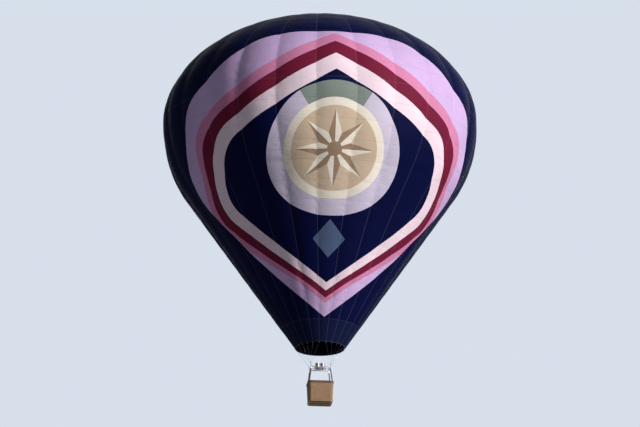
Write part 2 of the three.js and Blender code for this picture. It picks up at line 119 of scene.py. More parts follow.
# Colours of the fabric and of the tapes that are dyed to match
COLOURS = {
    "navy": (0.0010, 0.0026, 0.034),
    "lilac_white": (0.53, 0.37, 0.60),
    "dark_red": (0.150, 0.010, 0.034),
    "white": (0.76, 0.60, 0.66),
    "cream": (0.76, 0.68, 0.57),
    "tan": (0.54, 0.41, 0.29),
    "lilac": (0.54, 0.47, 0.58),
    "grey_green": (0.20, 0.24, 0.21),
    "grey_blue": (0.075, 0.105, 0.19),
    "brown": (0.30, 0.20, 0.13),
    "pink": (0.56, 0.20, 0.34),
}
(NAVY, LILAC_WHITE, DARK_RED, WHITE, CREAM, TAN, LILAC, GREY_GREEN, GREY_BLUE, BROWN,
 PINK) = range(len(COLOURS))

# Tapes. The widths of the round ones are given with their distances, in the function tapes.
TAPE_WIDTH = 0.040
TAPE_THICKNESS = 0.003
TAPE_LIFT = 0.0005
TAPE_STEPS = 4
TAPE_START = 0.23
TAPE_LOOP_END = (0.34, 0.24)
TAPE_LOOP_CLEAR = 0.7 * TAPE_THICKNESS
TAPE_LOOP_WIDTH = 0.84 * TAPE_WIDTH
COLOUR_STEP = 0.02
ROUND_TAPE_LIFTS = (0.0012, 0.003)
ROUND_TAPE_COLUMNS = 768

# Load frame, gimbal and burner
CORNERS = {"front_left": (-1, -1), "front_right": (1, -1), "rear_right": (1, 1), "rear_left": (-1, 1)}
FRAME_HEIGHT = MOUTH_HEIGHT - 1.150
FRAME_HALF = (0.520, 0.400)
FRAME_TUBE = 0.038
LUG = 0.044
LUG_HEIGHT = FRAME_HEIGHT + FRAME_TUBE / 2 + LUG / 2
SOCKET = 0.120
PIN = 0.010
GIMBAL_HALF = (0.305, 0.220)
GIMBAL_TUBE = 0.030
WELD_BEAD = 0.0035
WELD_STEP = 0.004
WELD_RIPPLE = 0.18
CAN_RADIUS = 0.125
CAN_MIDDLE = 0.132
COIL_INNER = 0.092
COIL_OUTER = 0.116
COIL_TURNS = 8
COIL_STEPS = 36
JET_RING = 0.062

# Rigging
LINK_TUBE = 0.006
LINK_BEND = 0.019
LINK_STRAIGHT = 0.060
LINK_STEPS = 16
GATHER_CENTRE = 0.1067
GATHER_RADIUS = 0.020
GATHER_TUBE = 0.005
WIRE_RADIUS = 0.0025
WIRE_STEP = 0.008
WIRE_LAY = 0.04
WIRE_FAN = 0.248
WIRE_TRIM = 0.05
EYE_LENGTH = 0.026

# Basket
WALL_TOP = FRAME_HEIGHT - 0.900
FLOOR_TOP = WALL_TOP - 1.080
BASKET_HALF = (0.650, 0.525)
BASKET_CORNER = 0.140
CORNER_STEPS = 24
BASKET_FLARE = 0.050
WICKER = 0.032
STAKES = 96
STAKE_RADIUS = 0.0058
WEAVERS = 90
WEAVE_STEPS = 3
WEAVE = 0.010
WEAVER = (0.0058, 0.0088)
WEAVER_SPREAD = (0.93, 1.05)
WEAVER_SAG = 0.0010
WEAVER_JITTER = 0.0003
WEAVER_SIDES = 5
RIM_WIDTH = 0.076
RIM_PANELS = 12
RIM_SQUARENESS = 0.82
SKIRT = 0.060
THONG_RADIUS = 0.0022
BOLT_COLUMNS = (-0.5, -0.17, 0.17, 0.5)
RUNNER_ROWS = (-0.36, 0.0, 0.36)
UPRIGHT = 0.013
SLEEVE = 0.034
LACES = 22


# Meshes

class Shape:
    """Points and faces of one piece, with the number of each face's material."""

    def __init__(self):
        self.points, self.faces, self.finish = [], [], []

    def add(self, part, finish=0, where=None):
        points, faces = part if where is None else moved(part, where)
        start = len(self.points)
        self.points += [tuple(point) for point in points]
        self.faces += [[start + i for i in face] for face in faces]
        self.finish += [finish] * len(faces)
        return self


def linked(name, data):
    made = bpy.data.objects.new(name, data)
    bpy.context.scene.collection.objects.link(made)
    return made


def piece(name, shape, materials, stands_for=(), body="balloon", sharp=35, recalculate=True):
    mesh = bpy.data.meshes.new(name)
    mesh.from_pydata(shape.points, [], shape.faces)
    for material in materials:
        mesh.materials.append(material)
    mesh.polygons.foreach_set("material_index", shape.finish)
    if recalculate:
        whole = bmesh.new()
        whole.from_mesh(mesh)
        bmesh.ops.recalc_face_normals(whole, faces=whole.faces)
        whole.to_mesh(mesh)
        whole.free()
    mesh.shade_smooth()
    mesh.set_sharp_from_angle(angle=radians(sharp))
    made = linked(name, mesh)
    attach(made, body)
    if stands_for:
        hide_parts(*stands_for)
    return made


def levels_of(node):
    low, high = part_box(node)
    return low[2], high[2]


def around(face):
    """The edges of a face, as pairs of points."""
    return zip(face, face[1:] + face[:1])


def skin(rings, closed=False):
    """The faces over a row of rings that have the same number of points."""
    count, size = len(rings), len(rings[0])
    faces = []
    for i in range(count if closed else count - 1):
        here, there = i * size, (i + 1) % count * size
        for j in range(size):
            k = (j + 1) % size
            faces.append([here + j, here + k, there + k, there + j])
    if not closed:
        faces += [list(range(size))[::-1], list(range((count - 1) * size, count * size))]
    return [point for ring in rings for point in ring], faces


def swept(path, section, closed=False, side=None, twist=0.0, scale=None):
    """A section of (across, up) pairs carried along a path, turning by twist at each point."""
    path = [Vector(point) for point in path]
    count = len(path)
    across = None if side is None else Vector(side)
    rings = []
    for i, point in enumerate(path):
        before = path[i - 1] if closed or i else point
        after = path[(i + 1) % count] if closed or i + 1 < count else point
        along = (after - before).normalized()
        across = along.orthogonal() if across is None else across
        across = (across - along * across.dot(along)).normalized()
        up = along.cross(across)
        c, s = cos(twist * i), sin(twist * i)
        grow = scale[i] if scale else 1
        rings.append([point + grow * (across * (x * c - y * s) + up * (x * s + y * c)) for x, y in section])
    return skin(rings, closed)


def turned(outline, sides, closed=False):
    """An outline of (radius, height) pairs turned about Z, from axis to axis or closed."""
    points, rows = [], []
    for radius, height in outline:
        if radius < 1e-6:
            rows.append([len(points)] * sides)
            points.append(Vector((0, 0, height)))
        else:
            rows.append(range(len(points), len(points) + sides))
            points += [Vector((x, y, height)) for x, y in circle(radius, sides)]
    faces = []
    for low, high in zip(rows, rows[1:] + rows[:1] if closed else rows[1:]):
        for j in range(sides):
            k = (j + 1) % sides
            corners = list(dict.fromkeys([low[j], low[k], high[k], high[j]]))
            if len(corners) > 2:
                faces.append(corners)
    return points, faces


def moved(part, matrix):
    points, faces = part
    return [matrix @ Vector(point) for point in points], faces


def at(x=0.0, y=0.0, z=0.0, turn=0.0):
    return Matrix.Translation((x, y, z)) @ Matrix.Rotation(turn, 4, "Z")


def standing(start, along):
    """The matrix that puts +Z along a direction, from a start."""
    return Matrix.Translation(Vector(start)) @ Vector(along).to_track_quat("Z", "Y").to_matrix().to_4x4()


def direction(turn, rise=0.0):
    """The way out from the axis at an angle round the envelope, tilted up by a rise."""
    return Vector((sin(turn) * cos(rise), -cos(turn) * cos(rise), sin(rise)))


def turns(count, shift=0.0):
    return [TURN * (i + shift) / count for i in range(count)]


def circle(radius, sides, middle=(0.0, 0.0)):
    return [(middle[0] + radius * cos(t), middle[1] + radius * sin(t)) for t in turns(sides)]


def hoop(middle, first, second, radius, count):
    """Points round a circle in the plane of two directions."""
    return [middle + (first * cos(t) + second * sin(t)) * radius for t in turns(count)]


def box_outline(left, right, low, high):
    return [(left, low), (right, low), (right, high), (left, high)]


def millimetres(*pairs):
    """An outline given in millimetres, in metres."""
    return [(x / 1000, y / 1000) for x, y in pairs]


def rounded(width, height, radius, steps=3, inset=0.0):
    """A rectangle with round corners, drawn in by an inset at the corners' own centres."""
    points = []
    for quarter, (x, y) in enumerate([(1, 1), (-1, 1), (-1, -1), (1, -1)]):
        for i in range(steps + 1):
            angle = TURN / 4 * (quarter + i / steps)
            reach = radius - inset
            points.append((x * (width / 2 - radius) + reach * cos(angle),
                           y * (height / 2 - radius) + reach * sin(angle)))
    return points


def block(length, width, height, radius=0.004, steps=2):
    """A bar along X with rounded edges and ends."""
    rings = []
    for end in (-1, 1):
        row = []
        for i in range(steps + 1):
            turn = TURN / 4 * i / steps
            inset = min(radius * (1 - sin(turn)), 0.96 * radius)
            x = end * (length / 2 - radius * (1 - cos(turn)))
            row.append([Vector((x, y, z)) for y, z in rounded(width, height, radius, steps, inset)])
        rings += row[::-end]
    return skin(rings)


def tube_between(start, end, radius, sides, edge=0.001):
    start, end = Vector(start), Vector(end)
    length = (end - start).length
    outline = [(0, 0), (radius - edge, 0), (radius, edge), (radius, length - edge), (radius - edge, length),
               (0, length)]
    return moved(turned(outline, sides), standing(start, end - start))


def two_sided(outer, inner, faces):
    """A thin closed wall over faces of one side: its points, its faces, and how many of those are its rim."""
    count = len(outer)
    edges = dict.fromkeys(edge for face in faces for edge in around(face))
    rim = [[b, a, count + a, count + b] for a, b in edges if (b, a) not in edges]
    both = list(faces) + [[count + i for i in face[::-1]] for face in faces]
    return [*outer, *inner], both + rim, len(rim)


# Envelope surface

def meridian():
    """Distance down the fabric, radius and height, from the pole to the mouth."""
    quarter = np.linspace(TURN / 4, 0, DOME_STEPS)
    shoulder = np.linspace(0, CONE_ANGLE, 200)[1:]
    top = -SHOULDER_RADIUS * sin(CONE_ANGLE)
    cone = np.linspace(top, MOUTH_HEIGHT, 60)[1:]
    cone_radius = RADIUS - SHOULDER_RADIUS * (1 - cos(CONE_ANGLE))
    radius = np.concatenate([
        RADIUS * np.cos(quarter),
        RADIUS - SHOULDER_RADIUS * (1 - np.cos(shoulder)),
        cone_radius + (cone - top) * tan(CONE_ANGLE),
    ])
    height = np.concatenate([CROWN_RISE * np.sin(quarter), -SHOULDER_RADIUS * np.sin(shoulder), cone])
    distance = np.concatenate([[0], np.cumsum(np.hypot(np.diff(radius), np.diff(height)))])
    return distance - distance[DOME_STEPS - 1], radius, height


ALONG, ALONG_RADIUS, ALONG_HEIGHT = meridian()
SLOPE_RADIUS = np.gradient(ALONG_RADIUS, ALONG)
SLOPE_HEIGHT = np.gradient(ALONG_HEIGHT, ALONG)


def radius_at(distance):
    return np.interp(distance, ALONG, ALONG_RADIUS)


def on_dome(radius, values):
    return float(np.interp(radius, ALONG_RADIUS[:DOME_STEPS], values[:DOME_STEPS]))


VENT_EDGE = on_dome(VENT_RADIUS, ALONG)
BAND_TOP = float(np.interp(-BAND_HEIGHT, -ALONG_HEIGHT, ALONG))
MOUTH = float(ALONG[-1])
SEAMS = np.concatenate([
    np.linspace(VENT_EDGE, 0, PANELS_ABOVE + 1)[:-1],
    np.linspace(0, BAND_TOP, PANELS_BELOW + 1),
])


def puckers(angle, across, distance):
    """From 0 to 1: the small folds beside the tapes, where the fabric is gathered on them."""
    side = 2 * np.floor(angle / GORE_ANGLE + 0.5) + (across > 0)
    beside = np.clip((np.abs(across) - PUCKERED) / (1 - PUCKERED), 0, 1)
    slow = 0.6 + 0.4 * np.sin(1.3 * distance + 2.1 * side)
    shift = 1.7 * side + 0.8 * np.sin(0.9 * distance + side)
    folds = 0.5 + 0.5 * np.sin(TURN * distance / PUCKER_STEP + shift)
    return PUCKER_PEAK * beside ** 4 * (1 - beside) * slow * folds


def fabric_point(angle, distance, lift=0.0, pillow=True):
    """Points on the fabric, which bulges between the tapes and between the seams."""
    angle, distance = np.broadcast_arrays(np.asarray(angle, float), np.asarray(distance, float))
    across = 2 * ((angle / GORE_ANGLE + 0.5) % 1) - 1
    radius = radius_at(distance) * (1 + GORE_BULGE * (1 - across ** 2)) / (1 + GORE_BULGE)
    out = -np.interp(distance, ALONG, SLOPE_HEIGHT)
    up = np.interp(distance, ALONG, SLOPE_RADIUS)
    if pillow:
        row = np.clip(np.searchsorted(SEAMS, distance, side="right") - 1, 0, len(SEAMS) - 2)
        start, end = SEAMS[row], SEAMS[row + 1]
        place = np.clip((distance - start) / (end - start), 0, 1)
        lift = lift - PILLOW * (1 - np.abs(4 * place * (1 - place)) ** 0.6) * (1 - across ** 4)
        lift = lift - PUCKER * puckers(angle, across, distance)
    reach = radius + out * lift
    height = np.interp(distance, ALONG, ALONG_HEIGHT) + up * lift
    return np.stack([reach * np.sin(angle), -reach * np.cos(angle), height], axis=-1)


# Emblem

def on_face(angle, distance):
    """Metres aside from the middle of the nearer emblem, one in front and one behind."""
    turn = (np.asarray(angle) + TURN / 4) % (TURN / 2) - TURN / 4
    return turn * radius_at(distance)


def softer_of(first, second):
    """The larger of two levels, rounded where they are nearly alike."""
    mix = np.maximum(KITE_ROUNDING - np.abs(first - second), 0) / KITE_ROUNDING
    return np.maximum(first, second) + mix ** 2 * KITE_ROUNDING / 4


def enclosed(aside, along, lines):
    """Over zero outside the shape that the lines enclose, the same to the left and right."""
    return reduce(softer_of, [x * np.abs(aside) + y * along - reach for x, y, reach in lines])


def kite(aside, along, reach):
    """Over zero outside the kite, grown by a reach that narrows towards the mouth."""
    taper = np.clip(1 - STRIPE_TAPER * (along - TAPER_FROM), NARROWEST, 1)
    return enclosed(aside, along, KITE) - reach * taper


def roundel(aside, along, radius):
    return np.hypot(aside, along - ROUNDEL_MIDDLE) - radius


def spoke(aside, along, turn):
    """Over zero on one side of a line through the middle of the roundel."""
    return aside * cos(turn) - (along - ROUNDEL_MIDDLE) * sin(turn)


def star(aside, along):
    """Over zero outside the star."""
    fold = TURN / (2 * STAR_POINTS)
    angle = np.arctan2(aside, ROUNDEL_MIDDLE - along) % (2 * fold)
    angle = np.minimum(angle, 2 * fold - angle)
    x, y = (roundel(aside, along, 0) * trig(angle) for trig in (np.cos, np.sin))
    notch_x, notch_y = STAR_NOTCH * cos(fold), STAR_NOTCH * sin(fold)
    return (x - STAR_TIP) * notch_y - y * (notch_x - STAR_TIP)


def lozenge(aside, along):
    """Over zero outside the lozenge."""
    middle, half_width, half_height = LOZENGE
    return np.abs(aside) / half_width + np.abs(along - middle) / half_height - 1


def emblem_cuts():
    """The lines of the emblem, each with the ring that its cuts stay inside, if any."""
    outer_ring, _, star_ring = ROUNDEL_RINGS
    cuts = [(partial(kite, reach=reach), None) for reach in STRIPES]
    cuts.append((partial(enclosed, lines=ARCH), None))
    cuts += [(partial(roundel, radius=radius), None) for radius in (*ROUNDEL_RINGS, STAR_HUB)]
    cuts += [(partial(spoke, turn=turn / 2), star_ring) for turn in turns(STAR_POINTS)]
    cuts.append((star, star_ring))
    cuts += [(partial(spoke, turn=turn), outer_ring) for turn in (RING_ARC, -RING_ARC)]
    return cuts + [(lozenge, None)]


def emblem_colour(aside, along):
    if enclosed(aside, along, ARCH) > 0:
        return NAVY
    for reach, colour in zip(STRIPES[::-1], (LILAC_WHITE, PINK, DARK_RED, WHITE)):
        if kite(aside, along, reach) > 0:
            return colour
    if lozenge(aside, along) < 0:
        return GREY_BLUE
    reach = roundel(aside, along, 0)
    outer_ring, middle_ring, star_ring = ROUNDEL_RINGS
    if reach > outer_ring:
        return NAVY
    if reach > middle_ring:
        on_top = ROUNDEL_MIDDLE - along > abs(aside) / tan(RING_ARC)
        return GREY_GREEN if on_top else LILAC
    if reach > star_ring:
        return CREAM
    if reach < STAR_HUB:
        return BROWN
    if star(aside, along) > 0:
        return TAN
    turn = atan2(aside, ROUNDEL_MIDDLE - along) % (TURN / STAR_POINTS)
    return CREAM if turn < TURN / (2 * STAR_POINTS) else BROWN


def colour_at(angle, distance):
    return emblem_colour(float(on_face(angle, distance)), distance)


def cut(points, faces, level, within):
    """Splits the faces along the line where the level is zero, in the flat of (angle, distance)."""
    flat = np.array(points)
    aside = on_face(flat[:, 0], flat[:, 1])
    value = level(aside, flat[:, 1])
    value[np.abs(value) < 1e-4] = 0
    inside = None if within is None else roundel(aside, flat[:, 1], within + 1e-3)
    if value.min() >= 0 or value.max() <= 0:
        return faces
    crossings, halves = {}, []
    for face in faces:
        levels = value[face]
        if not (levels.min() < 0 < levels.max() and (inside is None or inside[face].max() <= 0)):
            halves.append(face)
            continue
        low, high = [], []
        for a, b in around(face):
            if value[a] <= 0:
                low.append(a)
            if value[a] >= 0:
                high.append(a)
            if value[a] * value[b] < 0:
                key = (min(a, b), max(a, b))
                if key not in crossings:
                    share = value[a] / (value[a] - value[b])
                    crossings[key] = len(points)
                    points.append(tuple(flat[a] + (flat[b] - flat[a]) * share))
                low.append(crossings[key])
                high.append(crossings[key])
        halves += [low, high]
    whole = []
    for face in halves:
        joined = []
        for a, b in around(face):
            joined.append(a)
            crossing = crossings.get((min(a, b), max(a, b)))
            if crossing is not None and crossing not in face:
                joined.append(crossing)
        whole.append(joined)
    return whole


# Fabric patterns, flat in (angle, distance)

def grid(angles, distances):
    """A flat pattern with a row of points at each distance, and its faces."""
    wide = len(angles)
    points = [(angle, distance) for distance in distances for angle in angles]
    faces = [
        [i * wide + j, (i + 1) * wide + j, (i + 1) * wide + j + 1, i * wide + j + 1]
        for i in range(len(distances) - 1) for j in range(wide - 1)
    ]
    return points, faces


def round_grid(columns, distances):
    """The same all the way round, closed on itself."""
    points, faces = grid(turns(columns), distances)
    for i in range(len(distances) - 1):
        start, below = i * columns, (i + 1) * columns
        faces.append([start + columns - 1, below + columns - 1, below, start])
    return points, faces


def seam_rows():
    """The distances of the rows of a gore's mesh, two of them close together at each seam."""
    rows = []
    for start, end in zip(SEAMS, SEAMS[1:]):
        low = start + (SEAM / 2 if rows else 0)
        rows += list(np.linspace(low, end - SEAM / 2, CELLS_ALONG + 1))
    rows[-1] = SEAMS[-1]
    return rows


def gore(number):
    """The flat pattern of a gore, finer beside the tapes: points, faces and (colour, doubled in a seam)."""
    even = np.linspace(-1, 1, CELLS_ACROSS + 1)
    columns = number * GORE_ANGLE + GORE_ANGLE / 2 * even * (1 + CROWDING - CROWDING * even ** 2)
    points, faces = grid(columns, seam_rows())
    for level, within in emblem_cuts():
        faces = cut(points, faces, level, within)
    flat = np.array(points)
    finishes = []
    for face in faces:
        angle, distance = flat[face].mean(axis=0)
        finishes.append((colour_at(angle, distance), abs(distance - SEAMS[1:-1]).min() < SEAM / 2))
    return flat, faces, finishes


def sheet_of(flat, faces, colours=None, lift=0.0, pillow=True, seams=False):
    """A thin closed sheet over the faces of a flat pattern, with its edges."""
    angle, distance = np.array(flat).T
    on_seam = np.abs(distance[:, None] - SEAMS[None, 1:-1]).min(axis=1) < 0.6 * SEAM
    outer = fabric_point(angle, distance, lift + np.where(on_seam, SEAM_RISE, 0.0) * seams, pillow)
    inner = fabric_point(angle, distance, lift - FABRIC, pillow)
    points, both, rim = two_sided(outer, inner, faces)
    sheet = Shape().add((points, both))
    if colours:
        sheet.finish = colours * 2 + colours[:1] * rim
    return sheet


# Finishes

class Nodes:
    """Short ways to add shader nodes to a tree. An input is named, or numbered as in i0."""

    def __init__(self, tree):
        self.tree = tree

    def put(self, socket, value):
        if isinstance(value, bpy.types.NodeSocket):
            self.tree.links.new(value, socket)
        else:
            socket.default_value = value

    def add(self, kind, settings=None, **inputs):
        node = self.tree.nodes.new(kind)
        for key, value in (settings or {}).items():
            setattr(node, key, value)
        for key, value in inputs.items():
            self.put(node.inputs[int(key[1:]) if key.startswith("i") else key.replace("_", " ")], value)
        return node

    def math(self, operation, first, second=0.0):
        return self.add("ShaderNodeMath", {"operation": operation}, i0=first, i1=second).outputs[0]

    def times(self, value, factor):
        return self.math("MULTIPLY", value, factor)

    def blend(self, *parts):
        """The sum of values, each times its share."""
        return reduce(partial(self.math, "ADD"), [self.times(value, share) for value, share in parts])

    def mix(self, factor, first, second):
        """A mix of two colours."""
        return self.add("ShaderNodeMix", {"data_type": "RGBA"}, i0=factor, i6=first, i7=second).outputs[2]

    def joined(self, x, y):
        return self.add("ShaderNodeCombineXYZ", X=x, Y=y).outputs[0]

    def stretched(self, vector, scale):
        return self.add("ShaderNodeMapping", Vector=vector, Scale=scale).outputs[0]

    def noise(self, vector, scale, detail=3.0, roughness=0.5):
        node = self.add("ShaderNodeTexNoise", Vector=vector, Scale=scale, Detail=detail, Roughness=roughness)
        return node.outputs["Fac"]

    def ramp(self, factor, *stops):
        node = self.add("ShaderNodeValToRGB", Fac=factor)
        elements = node.color_ramp.elements
        while len(elements) < len(stops):
            elements.new(0.5)
        for element, (place, colour) in zip(elements, stops):
            element.position = place
            element.color = (*colour, 1)
        return node.outputs["Color"]

    def tint(self, tone, colour, *stops):
        """A colour that is darker and paler with the tone: the stops are (tone, factor)."""
        return self.ramp(tone, *[(place, shade(colour, factor)) for place, factor in stops])

    def range(self, value, low, high):
        return self.add("ShaderNodeMapRange", Value=value, To_Min=low, To_Max=high).outputs[0]

    def bump(self, height, strength, distance, **normal):
        node = self.add("ShaderNodeBump", Height=height, Strength=strength, Distance=distance, **normal)
        return node.outputs[0]


class Finish(Nodes):
    """A material, with the place on its object to draw by."""

    def __init__(self, name):
        self.material = bpy.data.materials.new(name)
        self.material.use_nodes = True
        super().__init__(self.material.node_tree)
        self.surface = self.tree.nodes["Principled BSDF"]

    @cached_property
    def place(self):
        return self.add("ShaderNodeTexCoord").outputs["Object"]

    def set(self, **inputs):
        for key, value in inputs.items():
            self.put(self.surface.inputs[key.replace("_", " ")], value)
        return self.material

    def mix_with(self, factor, other):
        """Mixes the surface with another shader."""
        both = self.add("ShaderNodeMixShader", i0=factor, i1=self.surface.outputs[0], i2=other.outputs[0])
        self.put(self.tree.nodes["Material Output"].inputs["Surface"], both.outputs[0])
        return self.material


def shade(colour, factor):
    return tuple(min(1.0, channel * factor) for channel in colour)


def fabric(name, colour, roughness=0.66, glow=0.16):
    """Coated ripstop: a fine grid of thicker threads, puckers beside the tapes, and slight fading."""
    mat = Finish(name)
    x, y, z = mat.add("ShaderNodeSeparateXYZ", Vector=mat.place).outputs
    aside = mat.times(mat.math("ARCTAN2", x, mat.times(y, -1.0)), GORES / TURN)
    # From -0.5 to 0.5 across each gore: the 100 whole gores keep the sum over zero
    across = mat.math("SUBTRACT", mat.math("FRACT", mat.math("ADD", aside, 100.5)), 0.5)
    near_tape = mat.math("POWER", mat.times(mat.math("ABSOLUTE", across), 2.0), 3.0)
    streaks = mat.noise(mat.stretched(mat.joined(aside, z), (1.7, 3.6, 1.0)), 1.0, 4.0, 0.55)
    depth = mat.times(mat.math("SUBTRACT", streaks, 0.5), mat.range(near_tape, 0.25, 1.0))
    relief = mat.math("ADD", depth, mat.times(mat.noise(mat.place, 2.6, 5.0, 0.6), 0.3))
    cells = mat.joined(mat.times(aside, 2.2), z)
    threads = mat.add("ShaderNodeTexBrick", {"offset": 0.0}, Vector=cells, Scale=180.0, Mortar_Size=0.04,
                      Brick_Width=1.0, Row_Height=1.0).outputs["Fac"]
    tint = mat.tint(mat.noise(mat.place, 0.35), colour, (0.3, 0.9), (0.7, 1.08))
    woven = mat.mix(mat.times(threads, 0.12), tint, (*shade(colour, 0.75), 1))
    normal = mat.bump(relief, 0.8, 0.07, Normal=mat.bump(threads, 0.15, 0.0004))
    mat.set(Base_Color=woven, Normal=normal, Roughness=roughness, Specular_IOR_Level=0.06)
    return mat.mix_with(glow, mat.add("ShaderNodeBsdfTranslucent", Color=woven, Normal=normal))


def webbing(name, colour):
    """Narrow woven tape: a herringbone of yarns and a little wear."""
    mat = Finish(name)
    weave = mat.add("ShaderNodeTexWave", {"wave_type": "BANDS", "bands_direction": "DIAGONAL"},
                    Vector=mat.place, Scale=90.0, Distortion=1.5).outputs["Fac"]
    tone = mat.blend((weave, 0.35), (mat.noise(mat.place, 3.0, 5.0), 0.65))
    return mat.set(Base_Color=mat.tint(tone, colour, (0.25, 0.75), (0.75, 1.3)), Roughness=0.8,
                   Normal=mat.bump(weave, 0.4, 0.0008))


def metal(name, colour, roughness, grain, tarnish=0.25):
    """Brushed or turned metal: fine streaks, handling marks and duller patches."""
    mat = Finish(name)
    streaks = mat.noise(mat.stretched(mat.place, grain), 6.0, 6.0, 0.6)
    tone = mat.blend((streaks, 0.5), (mat.noise(mat.place, 9.0, 4.0), 0.5))
    return mat.set(Base_Color=mat.tint(tone, colour, (0.3, 1 - tarnish), (0.55, 1), (0.75, 1.06)),
                   Roughness=mat.range(tone, roughness * 1.35, roughness * 0.75),
                   Normal=mat.bump(streaks, 0.12, 0.0006), Metallic=1.0)


def heated_steel():
    """Stainless sheet with straw, brown and blue heat tints that follow its height."""
    mat = Finish("heat_tinted_steel")
    height = mat.add("ShaderNodeSeparateXYZ", Vector=mat.place).outputs["Z"]
    rise = mat.math("DIVIDE", mat.math("SUBTRACT", height, FRAME_HEIGHT), 0.30)
    cloud = mat.noise(mat.place, 14.0, 5.0, 0.6)
    level = mat.math("ADD", rise, mat.times(mat.math("SUBTRACT", cloud, 0.5), 0.5))
    tint = mat.ramp(level, (0.10, (0.52, 0.51, 0.49)), (0.42, (0.50, 0.42, 0.28)), (0.62, (0.30, 0.19, 0.17)),
                    (0.78, (0.17, 0.19, 0.28)), (0.95, (0.30, 0.30, 0.31)))
    return mat.set(Base_Color=tint, Roughness=mat.range(cloud, 0.28, 0.5),
                   Normal=mat.bump(mat.noise(mat.place, 120.0), 0.08, 0.0005), Metallic=1.0)


def cane(name, colour, scale):
    """Peeled willow: long fibres, darker and paler rods, and a thin varnish."""
    mat = Finish(name)
    rods = mat.noise(mat.stretched(mat.place, scale), 1.0, 2.0, 0.7)
    fibres = mat.noise(mat.place, 260.0, 4.0, 0.7)
    stains = mat.noise(mat.place, 5.0, 5.0, 0.6)
    tone = mat.blend((rods, 0.55), (fibres, 0.20), (stains, 0.25))
    return mat.set(Base_Color=mat.tint(tone, colour, (0.28, 0.42), (0.46, 0.85), (0.58, 1), (0.74, 1.5)),
                   Roughness=mat.range(stains, 0.45, 0.68), Normal=mat.bump(fibres, 0.35, 0.0012),
                   Coat_Weight=0.12)


def leather(name, colour, pores=150.0, rough=(0.45, 0.75)):
    """Hide: pebbled grain, creases, and worn paler high spots."""
    mat = Finish(name)
    pebble = mat.add("ShaderNodeTexVoronoi", {"feature": "DISTANCE_TO_EDGE"}, Vector=mat.place, Scale=pores)
    folds = mat.noise(mat.place, 22.0, 6.0, 0.65)
    tone = mat.blend((folds, 0.4), (mat.noise(mat.place, 4.0, 5.0, 0.6), 0.6))
    grain = mat.bump(mat.math("MINIMUM", mat.times(pebble.outputs["Distance"], 6.0), 1.0), 0.35, 0.0008)
    return mat.set(Base_Color=mat.tint(tone, colour, (0.3, 0.55), (0.5, 1), (0.72, 1.7)),
                   Roughness=mat.range(tone, *rough), Normal=mat.bump(folds, 0.5, 0.003, Normal=grain))


def timber(name, colour, along, roughness):
    """Sawn wood whose grain runs along one axis."""
    mat = Finish(name)
    stretched = mat.stretched(mat.place, along)
    figure = mat.add("ShaderNodeTexWave", {"wave_type": "RINGS", "rings_direction": "X"}, Vector=stretched,
                     Scale=14.0, Distortion=6.0, Detail=3.0).outputs["Fac"]
    pores = mat.noise(stretched, 90.0, 4.0, 0.7)
    scuffs = mat.noise(mat.place, 7.0, 5.0, 0.6)
    tone = mat.blend((figure, 0.45), (pores, 0.25), (scuffs, 0.3))
    return mat.set(Base_Color=mat.tint(tone, colour, (0.2, 0.6), (0.5, 1), (0.8, 1.35)),
                   Roughness=mat.range(scuffs, roughness, roughness * 1.4),
                   Normal=mat.bump(pores, 0.25, 0.0008))


def smooth(name, colour, roughness, speckle=0.12, coat=0.0):
    """Enamel, rubber, resin or a dial: an even colour with dust, fine scratches and orange peel."""
    mat = Finish(name)
    dust = mat.noise(mat.place, 12.0, 6.0, 0.65)
    return mat.set(Base_Color=mat.tint(dust, colour, (0.3, 1 - speckle), (0.7, 1 + speckle)),
                   Roughness=mat.range(dust, roughness * 0.8, roughness * 1.4),
                   Normal=mat.bump(mat.noise(mat.place, 220.0, 2.0), 0.06, 0.0006), Coat_Weight=coat)


FABRICS = [fabric(f"{name}_ripstop", colour) for name, colour in COLOURS.items()]
SEAMED = [fabric(f"{name}_seam", shade(colour, 0.70), glow=0.05) for name, colour in COLOURS.items()]
TAPES = [webbing(f"{name}_tape", colour) for name, colour in COLOURS.items()]
HEAT_FABRIC = fabric("heat_resistant_weave", (0.0030, 0.0055, 0.030), roughness=0.7, glow=0.02)
WEBBING = webbing("black_webbing", (0.012, 0.012, 0.014))
ALLOY = metal("turned_alloy", (0.80, 0.81, 0.82), 0.24, (30.0, 30.0, 30.0))
STEEL = metal("brushed_steel", (0.62, 0.63, 0.64), 0.34, (20.0, 20.0, 90.0))
CAST_STEEL = metal("plated_steel", (0.46, 0.46, 0.47), 0.46, (30.0, 30.0, 30.0), 0.35)
WIRE_ROPE = metal("stranded_wire", (0.55, 0.56, 0.57), 0.36, (300.0, 300.0, 300.0), 0.35)
BRUSHED = metal("brushed_shell", (0.68, 0.69, 0.71), 0.30, (6.0, 6.0, 120.0), 0.18)
MACHINED = metal("machined_alloy", (0.40, 0.41, 0.43), 0.38, (90.0, 12.0, 12.0))
BRASS = metal("satin_brass", (0.58, 0.42, 0.18), 0.33, (30.0, 30.0, 60.0), 0.3)
HEATED_STEEL = heated_steel()
RED_ENAMEL = smooth("red_enamel", (0.48, 0.016, 0.014), 0.30, coat=0.5)
BLACK = smooth("black_resin", (0.014, 0.014, 0.015), 0.45, 0.3)
RUBBER = smooth("black_rubber", (0.010, 0.010, 0.010), 0.75, 0.4)
DIAL = smooth("dial_face", (0.78, 0.78, 0.75), 0.40)
COMPOSITE = smooth("pultruded_rod", (0.66, 0.60, 0.46), 0.38, 0.10)
WICKER_CANE = cane("woven_cane", (0.30, 0.165, 0.070), (2.5, 2.5, 56.0))
WICKER_STAKE = cane("willow_stakes", (0.24, 0.13, 0.058), (22.0, 22.0, 2.0))
LEATHER = leather("waxed_hide", (0.100, 0.050, 0.024))
RAWHIDE = leather("foot_hide", (0.190, 0.115, 0.060), 110.0, (0.6, 0.85))
THONG = leather("leather_thong", (0.045, 0.023, 0.012), 420.0)
